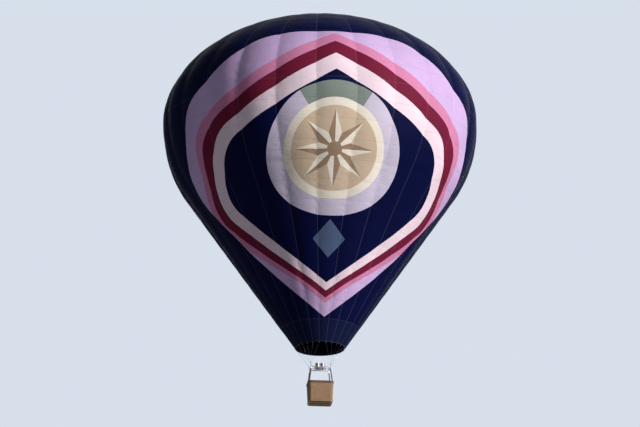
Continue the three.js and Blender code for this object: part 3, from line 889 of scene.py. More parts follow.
PLYWOOD = timber("marine_plywood", (0.42, 0.26, 0.13), (1.0, 9.0, 9.0), 0.32)
HARDWOOD = timber("oiled_hardwood", (0.23, 0.12, 0.058), (1.2, 16.0, 16.0), 0.5)


# Envelope pieces

def stretched_sheet(name, sheet, materials, nodes, body="balloon"):
    made = piece(name, sheet, materials, nodes, body, recalculate=False)


def gores():
    outside = ["envelope_crown_panels", "envelope_upper_panels", "envelope_lower_panels"]
    for number in range(GORES):
        flat, faces, finishes = gore(number)
        used = sorted(set(finishes))
        sheet = sheet_of(flat, faces, [used.index(finish) for finish in finishes], seams=True)
        materials = [(SEAMED if doubled else FABRICS)[colour] for colour, doubled in used]
        stretched_sheet(f"gore_{number + 1:02d}", sheet, materials, outside)


def mouth_band():
    sheet = sheet_of(*round_grid(HEM_COLUMNS, np.linspace(BAND_TOP, MOUTH, 9)))
    stretched_sheet("mouth_band_fabric", sheet, [HEAT_FABRIC], ["envelope_mouth_band"])


def parachute_vent():
    """A disc of fabric under the vent's opening and past its edge, closed by one face in the middle."""
    columns, edge, pole = GORES * 6, VENT_EDGE + VENT_OVERLAP, float(ALONG[0])
    flat, faces = round_grid(columns, np.linspace(pole + VENT_HUB, edge, VENT_ROWS))
    faces.append(list(range(columns)))
    sheet = sheet_of(flat, faces, lift=-VENT_DROP, pillow=False)
    stretched_sheet("parachute_vent_fabric", sheet, [FABRICS[NAVY]], ["parachute_vent"],
                    "parachute_vent")


def dyed(shape, rings, colours, closed=False):
    """Adds a tape, with a colour for each stretch from ring to ring."""
    shape.add(skin([[Vector(point) for point in ring] for ring in rings], closed))
    size = len(rings[0])
    start = len(shape.finish) - len(colours) * size - (0 if closed else 2)
    for i, colour in enumerate(colours):
        shape.finish[start + i * size:start + (i + 1) * size] = [colour] * size


def round_tape(distance, width, shape):
    """A tape round the envelope, bent to the fabric and dyed as the emblem under it."""
    angles = turns(ROUND_TAPE_COLUMNS)
    section = box_outline(distance - width / 2, distance + width / 2, *ROUND_TAPE_LIFTS)
    rings = np.stack([fabric_point(angles, along, lift, pillow=False) for along, lift in section], axis=1)
    colours = [colour_at(angle, distance) for angle in turns(ROUND_TAPE_COLUMNS, 0.5)]
    dyed(shape, rings, colours, closed=True)


def crown_end(angle):
    """The end of a tape: its sections under the crown ring, round it and back out."""
    low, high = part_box("crown_ring")
    tube = (high[2] - low[2]) / 2
    reach = tube + TAPE_LOOP_CLEAR
    path = [(radius, on_dome(radius, ALONG_HEIGHT) - 2 * TAPE_LOOP_CLEAR) for radius in TAPE_LOOP_END]
    path += [
        (high[0] - tube + reach * cos(turn), low[2] + tube + reach * sin(turn))
        for turn in np.linspace(-TURN / 4, -0.95 * TURN, 10)
    ]
    out, aside = direction(angle), Vector((cos(angle), sin(angle), 0))
    steps = [aside * x for x in np.linspace(-0.5, 0.5, TAPE_STEPS + 1) * TAPE_LOOP_WIDTH]
    rings = []
    for i, (radius, height) in enumerate(path):
        before, after = path[max(i - 1, 0)], path[min(i + 1, len(path) - 1)]
        along = Vector((after[0] - before[0], after[1] - before[1])).normalized()
        lift = (out * along.y - UP * along.x) * TAPE_THICKNESS / 2
        middle = out * radius + UP * height
        inside, outside = ([middle + way * lift + step for step in steps] for way in (-1, 1))
        rings.append(inside + outside[::-1])
    return rings


def colour_changes(angle):
    """The distances down one tape where the emblem's colour changes."""
    fine = np.arange(VENT_EDGE, MOUTH, COLOUR_STEP)
    colours = [colour_at(angle, distance) for distance in fine]
    return [fine[i] for i in range(1, len(fine)) if colours[i] != colours[i - 1]]


def load_tape(angle, shape):
    """One tape from its loop round the crown ring, over the fabric, to the mouth."""
    distances = np.sort(np.concatenate([
        np.linspace(on_dome(TAPE_START, ALONG), VENT_EDGE, 16)[:-1],
        np.linspace(VENT_EDGE, MOUTH, 120),
        colour_changes(angle),
    ]))
    on_fabric = distances[:, None] > VENT_EDGE - 0.01
    steps = np.linspace(-0.5, 0.5, TAPE_STEPS + 1)[None, :] * TAPE_WIDTH
    angles = angle + np.where(on_fabric, steps / radius_at(distances)[:, None], 0)
    spread = np.where(on_fabric, 0.0, steps)[..., None] * np.array([cos(angle), sin(angle), 0])
    low, high = (fabric_point(angles, distances[:, None], lift, pillow=False) + spread
                 for lift in (TAPE_LIFT, TAPE_LIFT + TAPE_THICKNESS))
    loop = crown_end(angle)
    middles = (distances[1:] + distances[:-1]) / 2
    colours = [NAVY] * len(loop)
    colours += [colour_at(angle, middle) if lies else NAVY for middle, lies in zip(middles, on_fabric[:, 0])]
    dyed(shape, loop + list(np.concatenate([low, high[:, ::-1]], axis=1)), colours)


TAPE_ANGLES = turns(GORES, 0.5)


def tapes():
    vertical, hoops = Shape(), Shape()
    for angle in TAPE_ANGLES:
        load_tape(angle, vertical)
    piece("vertical_load_tapes", vertical, TAPES, ["load_tapes"])
    widths = {VENT_EDGE + 0.026: 0.05, float(SEAMS[4]): 0.025, 0.0: 0.03, BAND_TOP: 0.03, MOUTH - 0.022: 0.04}
    for distance, width in widths.items():
        round_tape(distance, width, hoops)
    piece("horizontal_tapes", hoops, TAPES)
    angles = turns(HEM_COLUMNS)
    hem = fabric_point(angles, MOUTH, -FABRIC / 2)
    edge = fabric_point(angles, VENT_EDGE + VENT_OVERLAP, -VENT_DROP - FABRIC / 2, pillow=False)
    for name, path, radius, body in (("mouth_hem_cable", hem, 0.007, "balloon"),
                                     ("vent_edge_cord", edge, 0.005, "parachute_vent")):
        cord = Shape().add(swept(path, circle(radius, 8), closed=True))
        piece(name, cord, [TAPES[NAVY]], body=body)


def crown_ring():
    low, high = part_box("crown_ring")
    tube = (high[2] - low[2]) / 2
    ring = turned(circle(tube, 20, (high[0] - tube, low[2] + tube)), 96, closed=True)
    piece("crown_ring_turned", Shape().add(ring), [ALLOY], ["crown_ring"])


# Rigging: the wires of each quarter gather in a ring on that corner's karabiner

def frame_corner(corner, height):
    return Vector((corner[0] * FRAME_HALF[0], corner[1] * FRAME_HALF[1], height))


def pull_line(corner):
    """From the hole of the load frame's lug towards the middle of that quarter's tapes."""
    angles = [turn for turn in TAPE_ANGLES if sin(turn) * corner[0] > 0 and -cos(turn) * corner[1] > 0]
    ends = [Vector(fabric_point(turn, MOUTH)) for turn in angles]
    foot = frame_corner(corner, LUG_HEIGHT)
    along = (sum(ends, Vector()) / len(ends) - foot).normalized()
    across = Vector((-along.y, along.x, 0)).normalized()
    return angles, ends, foot, along, across, along.cross(across)


def eye(middle, along, across, half_width, tube):
    """The eye at the end of a wire: a teardrop with its point towards +along."""
    path = []
    for turn in turns(24):
        reach = half_width * (1 + (EYE_LENGTH / half_width - 1) * max(0, cos(turn)) ** 3)
        path.append(middle + along * reach * cos(turn) + across * half_width * sin(turn))
    return swept(path, circle(tube, 8), closed=True, side=along.cross(across))


def wire_start(ring_centre, end, along, normal, fan):
    """Where a wire starts on the gathering ring: on the side of the line that its end is on."""
    ways = [along * cos(fan) + normal * sin(fan * sign) for sign in (1, -1)]
    starts = [ring_centre + way * (GATHER_RADIUS + 0.006) for way in ways]
    return min(starts, key=lambda point: (point - end).length)


def flying_wires(name, corner):
    angles, ends, foot, along, across, normal = pull_line(corner)
    ring_centre = foot + along * GATHER_CENTRE
    shape = Shape()
    ring = hoop(ring_centre, normal, along, GATHER_RADIUS, 32)
    shape.add(swept(ring, circle(GATHER_TUBE, 10), closed=True, side=across), 1)
    ferrule = millimetres((0, 0), (4.5, 0), (6.2, 4), (6.2, 34), (4, 40), (0, 40))
    strands = [(x * reach, y * reach) for (x, y), reach in zip(circle(WIRE_RADIUS, 12), 6 * (1, 0.84))]
    for i, (angle, end) in enumerate(zip(angles, ends)):
        start = wire_start(ring_centre, end, along, normal, WIRE_FAN * (i - (len(angles) - 1) / 2))
        line = (start - end).normalized()
        aside = line.cross(direction(angle)).normalized()
        shape.add(eye(end + line * 0.012, line, aside, 0.011, 0.003), 1)
        shape.add(eye(start - line * 0.010, -line, aside, 0.010, 0.0028), 1)
        for spot, way in ((end + line * 0.036, line), (start - line * 0.034, -line)):
            shape.add(turned(ferrule, 14), 1, standing(spot, way))
        low, high = end + line * WIRE_TRIM, start - line * WIRE_TRIM
        count = max(2, int((high - low).length / WIRE_STEP))
        path = [low.lerp(high, k / count) for k in range(count + 1)]
        shape.add(swept(path, strands, twist=TURN * WIRE_STEP / WIRE_LAY))
    piece(f"wires_{name}", shape, [WIRE_ROPE, STEEL], [f"flying_wires_{name}"])


def karabiner(name, corner):
    foot, along, across, normal = pull_line(corner)[2:]
    path = []
    for rise, start in ((LINK_BEND + LINK_STRAIGHT, 0), (LINK_BEND, TURN / 2)):
        for i in range(LINK_STEPS + 1):
            turn = start + TURN / 2 * i / LINK_STEPS
            path.append(foot + across * LINK_BEND * cos(turn) + along * (LINK_BEND * sin(turn) + rise))
    shape = Shape().add(swept(path, circle(LINK_TUBE, 14), closed=True, side=normal))
    gate = foot + across * LINK_BEND + along * (LINK_BEND + 0.006)
    nut = millimetres((0, 0), (7.5, 0), (9.2, 2), (9.2, 30), (7.5, 32), (0, 32))
    shape.add(turned(nut, 12), where=standing(gate, along))
    pin = box_outline(0, 0.003, -0.0085, 0.0085)
    shape.add(turned(pin, 12), where=standing(gate + along * 0.047, normal))
    piece(f"link_{name}", shape, [CAST_STEEL], [f"karabiner_{name}"])


# Metal work

PIVOT = Vector((0, 0, FRAME_HEIGHT))


def weld(size, where):
    """A bead of ripples round a square tube."""
    path = []
    for start, end in around(rounded(size, size, 0.004, 2)):
        start, end = Vector((0, *start)), Vector((0, *end))
        count = max(1, int((end - start).length / WELD_STEP))
        path += [where @ start.lerp(end, i / count) for i in range(count)]
    ripples = [1.0 + WELD_RIPPLE * sin(2.1 * i) for i in range(len(path))]
    return swept(path, circle(WELD_BEAD, 6), closed=True, scale=ripples)


def square_frame(half, tube, shape):
    """Four square tubes round the pivot, with a bead of weld at each joint."""
    half_x, half_y = half
    for side in (-1, 1):
        shape.add(block(2 * half_x + tube, tube, tube), where=at(0, side * half_y, FRAME_HEIGHT))
        bar = block(2 * half_y - tube + 0.004, tube - 0.001, tube - 0.001)
        shape.add(bar, where=at(side * half_x, 0, FRAME_HEIGHT, TURN / 4))
        for end in (-1, 1):
            joint = at(side * half_x, end * (half_y - tube / 2), FRAME_HEIGHT, TURN / 4)
            shape.add(weld(tube, joint), 1)


def holed_plate(size, hole, thickness):
    """A square plate in XZ with round corners and a round hole."""
    outer, inner = rounded(size, size, 0.28 * size, 7), rounded(2 * hole, 2 * hole, hole, 7)
    loops = ((outer, -1), (outer, 1), (inner, 1), (inner, -1))
    return skin([[Vector((x, way * thickness / 2, z)) for x, z in loop] for loop, way in loops], closed=True)


def add_bolt(shape, start, along, radius, height, finish=0):
    """A hexagon head on its washer."""
    where = standing(start, along)
    washer = 0.0016
    shape.add(turned(box_outline(0, 1.5 * radius, 0, washer), 20), finish, where)
    head = [(0, washer), (radius, washer), (radius, height - 0.001), (0.86 * radius, height), (0, height)]
    shape.add(turned(head, 6), finish, where)


def upright_line(corner):
    """The foot, the head and the direction of an upright."""
    wall_middle = BASKET_FLARE - WICKER / 2
    reach = wall_middle * sqrt(0.5) - BASKET_CORNER * (1 - sqrt(0.5))
    foot = Vector((corner[0] * (BASKET_HALF[0] + reach), corner[1] * (BASKET_HALF[1] + reach), WALL_TOP))
    head = frame_corner(corner, FRAME_HEIGHT)
    return foot, head, (head - foot).normalized()


def load_frame():
    shape = Shape()
    square_frame(FRAME_HALF, FRAME_TUBE, shape)
    depth = SOCKET - 0.012
    socket = [(0.0135, 0), (0.020, 0), (0.022, 0.002), (0.022, depth), (0.0135, depth)]
    for corner in CORNERS.values():
        head, along = upright_line(corner)[1:]
        shape.add(turned(socket, 28, closed=True), where=standing(head - along * SOCKET, along))
        across = UP.cross(along).normalized()
        pin = head - along * (SOCKET - 0.03)
        shape.add(tube_between(pin - across * 0.032, pin + across * 0.032, 0.004, 12), 1)
        pin_ring = hoop(pin + across * 0.036, across, along, 0.012, 16)
        shape.add(swept(pin_ring, circle(0.0014, 6), closed=True), 1)
        lug, pull = pull_line(corner)[2:4]
        turn = atan2(pull.y, pull.x)
        shape.add(holed_plate(LUG, 0.0074, 0.008), where=at(*lug, turn))
        lug_foot = at(lug.x, lug.y, LUG_HEIGHT - LUG / 2, turn)
        bead = [lug_foot @ Vector((x, y, 0.001)) for x, y in rounded(LUG + 0.002, 0.010, 0.004)]
        shape.add(swept(bead, circle(0.0025, 6), closed=True), 1)
    cap = millimetres((0, 0), (19, 0), (19, 6), (17, 8), (0, 8))
    for out in BOTH_SIDES:
        boss = PIVOT + out * (FRAME_HALF[0] + FRAME_TUBE / 2 - 0.001)
        shape.add(turned(cap, 28), 1, standing(boss, out))
        add_bolt(shape, boss + out * 0.008, out, 0.008, 0.007, 1)
    piece("load_frame_welded", shape, [STEEL, CAST_STEEL], ["load_frame"])


def gimbal():
    shape = Shape()
    square_frame(GIMBAL_HALF, GIMBAL_TUBE, shape)
    collar = millimetres((0, 0), (16, 0), (18, 2), (18, 14), (0, 14))
    disc = box_outline(0, 0.026, 0, 0.005)
    for out in BOTH_SIDES:
        start = PIVOT + out * (GIMBAL_HALF[0] + GIMBAL_TUBE / 2 - 0.002)
        near_frame = PIVOT + out * (FRAME_HALF[0] - FRAME_TUBE / 2 - 0.012)
        shape.add(tube_between(start, PIVOT + out * (FRAME_HALF[0] + 0.010), PIN, 24), 1)
        shape.add(turned(collar, 28), 1, standing(start, out))
        shape.add(turned(disc, 32), 2, standing(near_frame, out))
    piece("gimbal_ring_welded", shape, [STEEL, CAST_STEEL, BLACK], ["gimbal_ring"], "gimbal")


def drum(radius, thickness, heights, columns, missing, shape, where, finish=0):
    """A round wall whose cells (column, row) are left open where missing says so."""
    outer, inner = ([(x, y, z) for z in heights for x, y in circle(reach, columns)]
                    for reach in (radius, radius - thickness))
    faces = []
    for i in range(len(heights) - 1):
        low, high = i * columns, (i + 1) * columns
        for j in range(columns):
            k = (j + 1) % columns
            if not missing(j, i):
                faces.append([low + j, low + k, high + k, high + j])
    shape.add(two_sided(outer, inner, faces)[:2], finish, where)


def air_slots(column, row):
    return row in (1, 3, 6) and column % 3 != 0


def burner_can(side, x):
    low, high = levels_of(f"burner_can_{side}")
    base = at(x, 0, low)
    height = high - low
    heights = [0.004, 0.016, 0.034, 0.046, 0.064, 0.20, 0.216, 0.226, 0.242, height - 0.006]
    shape = Shape()
    drum(CAN_RADIUS - 0.002, 0.0018, heights, 72, air_slots, shape, base)
    lip = circle(0.0045, 12, (CAN_RADIUS - 0.005, height - 0.0046))
    shape.add(turned(lip, 72, closed=True), where=base)
    rim = CAN_RADIUS - 0.001
    floor = [(0, 0.0004), (rim, 0.0004), (rim, 0.0050), (rim - 0.007, 0.0036), (0, 0.0036)]
    shape.add(turned(floor, 72), where=base)
    rivet = millimetres((0, -2), (5, -2), (4.5, 0.8), (2.5, 2.2), (0, 2.6))
    for turn in turns(8, 0.5):
        out = Vector((cos(turn), sin(turn), 0))
        spot = out * rim + UP * 0.056
        shape.add(turned(rivet, 12), where=base @ standing(spot, out))
    piece(f"can_{side}", shape, [HEATED_STEEL], [f"burner_can_{side}"], "burner")


def burner_coil(side, x):
    low, high = levels_of(f"burner_coil_{side}")
    middle = (COIL_INNER + COIL_OUTER) / 2
    tube = (COIL_OUTER - COIL_INNER) / 2 - 0.0005
    steps = COIL_TURNS * COIL_STEPS
    path = []
    for i, height in enumerate(np.linspace(low + tube, high - tube, steps + 1)):
        turn = TURN * i / COIL_STEPS
        path.append((x + middle * cos(turn), middle * sin(turn), height))
    shape = Shape().add(swept(path, circle(tube, 10), side=UP))
    post = COIL_INNER - 0.003
    for turn in turns(3, 0.25):
        ends = [(x + post * cos(turn), post * sin(turn), z) for z in (low, high - 0.004)]
        shape.add(tube_between(*ends, 0.003, 10))
    piece(f"coil_{side}", shape, [HEATED_STEEL], [f"burner_coil_{side}"], "burner")


def jet_ring(side, x):
    """A ring of jets on two spokes, with its inlet and the pilot light."""
    foot = levels_of(f"burner_can_{side}")[0]
    middle = Vector((x, 0, foot + 0.030))
    ring = hoop(middle, Vector((1, 0, 0)), Vector((0, 1, 0)), JET_RING, 48)
    shape = Shape().add(swept(ring, circle(0.008, 12), closed=True, side=UP))
    jet = millimetres((0, 0), (3.5, 0), (3.5, 6), (1.4, 10), (0, 10))
    for spot in circle(JET_RING, 18, (x, 0)):
        shape.add(turned(jet, 8), where=at(*spot, foot + 0.036))
    for reach in (JET_RING, -JET_RING):
        shape.add(tube_between(middle, middle + Vector((reach, 0, 0)), 0.006, 12))
    inlet, pilot = (x, 0), (x + 0.028, 0.022)
    for spot, low, high, radius, sides in ((inlet, 0.003, 0.040, 0.013, 20), (pilot, 0.003, 0.058, 0.007, 14),
                                           (pilot, 0.058, 0.070, 0.010, 14)):
        shape.add(tube_between((*spot, foot + low), (*spot, foot + high), radius, sides))
    piece(f"jet_ring_{side}", shape, [BRASS], body="burner")


def blast_valve(side, x):
    low, high = levels_of(f"blast_valve_{side}")
    lever = low + 0.007
    outline = millimetres((0, -70), (10, -70), (10, -66), (15, -60), (15, -44), (18.5, -40), (18.5, -15),
                          (14, -12), (14, -3), (12, 0), (0, 0))
    shape = Shape().add(turned(outline, 28), where=at(x, 0, high))
    shape.add(block(0.060, 0.010, 0.006, 0.0025), 1, at(x, -0.034, lever, TURN / 4))
    grip = millimetres((0, 0), (5, 1), (6.8, 6), (6.8, 52), (5, 58), (0, 59))
    shape.add(turned(grip, 20), 2, standing((x, -0.060, lever), (0, -1, 0)))
    add_bolt(shape, (x, 0, lever - 0.004), (0, 0, -1), 0.006, 0.006, 1)
    piece(f"valve_{side}", shape, [BRASS, STEEL, RED_ENAMEL], [f"blast_valve_{side}"],
          "burner")


def size_and_middle(node):
    low, high = np.array(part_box(node))
    return high - low, (low + high) / 2


def dial(shape, where):
    """A pressure gauge: its case and face, a needle and nine marks."""
    case = millimetres((0, 0), (18, 0), (20, 2), (20, 15), (18.5, 17), (16.5, 17), (16.5, 14), (0, 14))
    facing = where @ standing((0, 0, 0), (0, -1, 0))
    shape.add(turned(case, 36), 1, facing)
    shape.add(turned(box_outline(0, 0.0162, 0.0142, 0.0148), 36), 3, facing)
    face = where @ at(0, -0.0154) @ Matrix.Rotation(TURN / 4, 4, "X")
    shape.add(block(0.017, 0.0014, 0.0008, 0.0003, 1), 4, face @ at(0.003, 0.003, 0, 0.8))
    for i in range(9):
        mark = at(turn=-0.75 * TURN * (0.5 + i / 8)) @ at(0.0135)
        shape.add(block(0.0028, 0.0008, 0.0006, 0.0002, 1), 4, face @ mark)


def manifold():
    (length, _, height), _ = size_and_middle("burner_manifold")
    shape = Shape().add(block(length, 0.150, height, 0.006, 3), where=at(z=FRAME_HEIGHT))
    ring_face = GIMBAL_HALF[1] + GIMBAL_TUBE / 2
    union = millimetres((0, -2), (13, -2), (13, 6), (10, 8), (10, 20), (12.5, 22), (12.5, 30), (9, 34),
                        (0, 34))
    for side in (-1, 1):
        out = Vector((0, side, 0))
        start = PIVOT + out * 0.072
        shape.add(tube_between(start, PIVOT + out * (ring_face - 0.002), PIN, 24), 1)
        shape.add(tube_between(start, PIVOT + out * 0.092, 0.019, 28, 0.002), 1)
        add_bolt(shape, PIVOT + out * (ring_face + 0.0006), out, 0.011, 0.008, 1)
        for x in (-0.19, -0.075, 0.075, 0.19):
            add_bolt(shape, PIVOT + Vector((x, side * 0.075, 0.008)), out, 0.0065, 0.006, 1)
        inlet = PIVOT + Vector((side * length / 2, 0.035, -0.004))
        shape.add(turned(union, 24), 2, standing(inlet, (side, 0, 0)))
        dial(shape, at(side * 0.045, -0.073, FRAME_HEIGHT + 0.002))
    piece("manifold_machined", shape, [MACHINED, STEEL, BRASS, DIAL, BLACK],
          ["burner_manifold"], "burner")
    (length, width, thickness), middle = size_and_middle("burner_plate")
    plate = Shape().add(block(length, width, thickness, 0.4 * thickness), where=at(z=middle[2]))
    for x in (-0.25, 0.0, 0.25):
        for y in (-0.125, 0.125):
            add_bolt(plate, (x, y, middle[2] + thickness / 2), UP, 0.005, 0.005)
    piece("heat_plate", plate, [HEATED_STEEL], ["burner_plate"], "burner")


# Basket

def around_basket(count):
    """Evenly spaced points round the basket at its floor, each with its outward direction."""
    loop = rounded(2 * BASKET_HALF[0], 2 * BASKET_HALF[1], BASKET_CORNER, CORNER_STEPS)
    facing = rounded(2, 2, 1, CORNER_STEPS)
    points, out = np.array(loop + loop[:1]), np.array(facing + facing[:1])
    length = np.concatenate([[0], np.cumsum(np.hypot(*np.diff(points, axis=0).T))])
    where = np.arange(count) / count * length[-1]
    xy, normal = (np.stack([np.interp(where, length, column) for column in rows.T], axis=1)
                  for rows in (points, out))
    return xy, normal / np.linalg.norm(normal, axis=1)[:, None]


def wall_point(xy, normal, offset, height):
    """Points on the leaning wall: offset outwards from its outside face, at a height."""
    height = np.asarray(height, float)[..., None]
    lean = BASKET_FLARE * (height - FLOOR_TOP) / (WALL_TOP - FLOOR_TOP)
    flat = xy + normal * (np.asarray(offset)[..., None] + lean)
    return np.concatenate([flat, np.broadcast_to(height, (*flat.shape[:-1], 1))], axis=-1)


def wall_band(count, outline, wobble):
    """A closed band round the basket: the outline is (offset, height) pairs."""
    rows = [
        [Vector(wall_point(*spot, offset + wobble(place), height)) for offset, height in outline]
        for place, spot in zip(turns(count), zip(*around_basket(count)))
    ]
    return skin(rows, closed=True)


def lacing(count, low, high, shape):
    """Thongs that cross a band's edge at a slant: low and high are (offset, height) pairs."""
    xy, normal = around_basket(2 * count)
    for i in range(0, 2 * count, 2):
        a, b = (Vector(wall_point(xy[k], normal[k], *end)) for k, end in ((i, low), (i + 1, high)))
        out = Vector((*normal[i], 0))
        path = [a - out * 0.006, a + out * THONG_RADIUS, a.lerp(b, 0.5) + out * 1.6 * THONG_RADIUS,
                b + out * THONG_RADIUS, b - out * 0.006]
        shape.add(swept(path, circle(THONG_RADIUS, 6)), 1)


def wicker_walls():
    rng = np.random.default_rng(11)
    count = STAKES * WEAVE_STEPS
    xy, normal = around_basket(count)
    side = np.concatenate([normal, np.zeros((count, 1))], axis=1)
    pitch = (WALL_TOP - FLOOR_TOP) / WEAVERS
    place = np.arange(count) / WEAVE_STEPS * pi
    section = np.array(circle(1, WEAVER_SIDES)) * WEAVER
    halves = {"lower": Shape(), "upper": Shape()}
    for row in range(WEAVERS):
        wave = -WICKER / 2 + WEAVE * np.cos(place + pi * row)
        sag = WEAVER_SAG * np.sin(rng.uniform(2, 5) * place / 7 + rng.uniform(0, TURN))
        jitter = rng.normal(0, WEAVER_JITTER, count)
        middle = wall_point(xy, normal, wave, FLOOR_TOP + pitch * (row + 0.5) + sag + jitter)
        across, upward = (section * rng.uniform(*WEAVER_SPREAD)).T
        rings = middle[:, None, :] + side[:, None, :] * across[None, :, None]
        rings[:, :, 2] += upward
        halves["lower" if row < WEAVERS // 2 else "upper"].add(skin(list(rings), closed=True))
    for name, walls in halves.items():
        piece(f"wicker_walls_{name}", walls, [WICKER_CANE], ["basket_walls"], sharp=70)
    stakes = Shape()
    levels = (FLOOR_TOP + 0.001, WALL_TOP + 0.004)
    for spot in zip(*around_basket(STAKES)):
        foot, head = (Vector(wall_point(*spot, -WICKER / 2, level)) for level in levels)
        stakes.add(swept([foot, foot.lerp(head, 0.5), head], circle(STAKE_RADIUS, 7)))
    piece("wicker_stakes", stakes, [WICKER_STAKE], ["basket_walls"], sharp=70)


def ripple(waves, place, turn):
    """From -1 to 1: folds in a hide, along it and round it."""
    return sum(sin(along * place + start + round_it * turn) for along, start, round_it in waves) / len(waves)


def rim_section(turn, half_height):
    """A squarish round: (offset, height) from the middle of the rim."""
    across, up = (copysign(abs(value) ** RIM_SQUARENESS, value) for value in (cos(turn), sin(turn)))
    return RIM_WIDTH / 2 * across, half_height * up


def rim_padding(low, high):
    """A tight hide over a roll, pulled in at each seam."""
    rng = np.random.default_rng(5)
    waves = [(rng.integers(9, 90), rng.uniform(0, TURN), rng.integers(1, 4)) for _ in range(14)]
    count = 260
    rows = []
    for place, spot in zip(turns(count), zip(*around_basket(count))):
        pinch = -0.0016 * max(0, cos(place * RIM_PANELS)) ** 24
        row = []
        for turn in turns(26):
            x, y = rim_section(turn, (high - low) / 2)
            grow = 0.975 * (1 + 0.035 * ripple(waves, place, turn) + pinch / 0.03)
            row.append(Vector(wall_point(*spot, x * grow - WICKER / 2, (low + high) / 2 + y * grow)))
        rows.append(row)
    rim = Shape().add(skin(rows, closed=True))
    piece("rim_padding", rim, [LEATHER], ["basket_rim"])


def rim_trim(low, high):
    """The skirts under the rim, their lacing, and a welt over each seam."""
    trim = Shape()
    skirt = low - SKIRT
    edge = ((0.0016, skirt), (0.0050, skirt), (0.0060, low + 0.004), (0.0100, low + 0.012),
            (0.0085, low + 0.013), (0.0016, low + 0.006))
    for face, way in ((0.0, 1), (-WICKER, -1)):
        outline = [(face + way * offset, height) for offset, height in edge]
        trim.add(wall_band(240, outline, lambda place: 0.0006 * sin(57 * place) + 0.0005 * sin(23 * place)))
    lacing(130, (0.0045, skirt - 0.012), (0.0062, skirt + 0.012), trim)
    for xy, normal in zip(*around_basket(RIM_PANELS)):
        out = Vector((*normal, 0))
        middle = Vector(wall_point(xy, normal, -WICKER / 2, (low + high) / 2))
        section = [rim_section(turn, (high - low) / 2) for turn in turns(28)]
        welt = [middle + 0.965 * (out * x + UP * y) for x, y in section]
        trim.add(swept(welt, circle(THONG_RADIUS, 6), closed=True, side=(-out.y, out.x, 0)), 1)
    piece("rim_trim", trim, [LEATHER, THONG])


def foot_binding():
    low, high = levels_of("basket_binding")
    outline = [(0.0004, low), (0.0050, low), (0.0062, low + 0.003), (0.0062, high - 0.004), (0.0045, high),
               (0.0004, high)]
    band = Shape().add(wall_band(300, outline, lambda place: 0.0007 * sin(83 * place) * sin(19 * place)))
    lacing(110, (0.0062, high - 0.014), (0.0030, high + 0.012), band)
    lacing(110, (0.0064, low + 0.010), (0.0064, low + 0.024), band)
    piece("foot_binding", band, [RAWHIDE, THONG], ["basket_binding"])


def basket_floor():
    low, high = levels_of("basket_floor")
    size = [2 * half for half in BASKET_HALF]
    rings = [[Vector((x, y, height)) for x, y in rounded(*size, BASKET_CORNER, 10, inset)]
             for height, inset in ((low, 0.003), (low + 0.003, 0), (high - 0.003, 0), (high, 0.003))]
    board = Shape().add(skin(rings))
    bolt_head = turned(millimetres((0, 0), (13, 0), (10, 3), (4, 4.2), (0, 4.4)), 20)
    washer = turned(box_outline(0, 0.010, 0, 0.0012), 18)
    for x in BOLT_COLUMNS:
        for y in RUNNER_ROWS:
            board.add(bolt_head, 1, at(x, y, high))
    piece("floor_board", board, [PLYWOOD, STEEL], ["basket_floor"])
    for i, y in enumerate(RUNNER_ROWS, 1):
        size, middle = size_and_middle(f"floor_runner_{i}")
        runner = Shape().add(block(*size, 0.007, 3), where=at(0, y, middle[2]))
        for x in BOLT_COLUMNS:
            runner.add(washer, 1, at(x, y, middle[2] - size[2] / 2))
        piece(f"runner_{i}", runner, [HARDWOOD, CAST_STEEL], [f"floor_runner_{i}"])


def sleeve(name, corner, foot, along, rng):
    """A creased leather sleeve, tied at both ends and laced on its inner side."""
    low, high = levels_of(f"upright_sleeve_{name}")
    start = foot + along * ((low - foot.z) / along.z + 0.004)
    reach = (high - low) / along.z - 0.008
    out = Vector((*corner, 0)).normalized()
    out = (out - along * out.dot(along)).normalized()
    aside = along.cross(out)
    waves = [(rng.uniform(20, 120), rng.uniform(0, TURN), int(rng.integers(1, 4))) for _ in range(9)]
    rings = []
    for share in np.linspace(0, 1, 71):
        hem = 1 - 0.10 * exp(-share * 40) - 0.10 * exp(-(1 - share) * 40)
        middle = start + along * reach * share
        ring = []
        for turn in turns(24):
            radius = SLEEVE * hem * (0.93 + 0.045 * ripple(waves, share, turn))
            ring.append(middle + (out * cos(turn) + aside * sin(turn)) * radius)
        rings.append(ring)
    shape = Shape().add(skin(rings))
    for end in (0.012, reach - 0.012):
        tie = hoop(start + along * end, out, aside, SLEEVE * 0.90, 32)
        shape.add(swept(tie, circle(0.0026, 8), closed=True, side=along), 1)
    for i in range(LACES):
        middle = start + along * reach * (i + 0.7) / (LACES + 0.4) - out * SLEEVE * 0.93
        for way in (-1, 1):
            reach_out = aside * 0.011 * way + along * 0.008
            path = [middle - reach_out, middle - out * 0.0035, middle + reach_out]
            shape.add(swept(path, circle(0.0017, 6)), 1)
    piece(f"sleeve_{name}", shape, [LEATHER, THONG], [f"upright_sleeve_{name}"])


def uprights():
    rng = np.random.default_rng(3)
    for name, corner in CORNERS.items():
        foot, head, along = upright_line(corner)
        top = (head - foot).length - 0.022
        outline = [(0, 0.004), (0.012, 0.004), (UPRIGHT, 0.006), (UPRIGHT, top), (0, top)]
        rod = Shape().add(turned(outline, 28), where=standing(foot, along))
        piece(f"rod_{name}", rod, [COMPOSITE], [f"upright_{name}"])
        sleeve(name, corner, foot, along, rng)


def foot_holes(column, row):
    return row == 1 and column % 12 in (5, 6)


def hand_holes(column, row):
    return row in (1, 2) and column % 24 in range(3, 9)


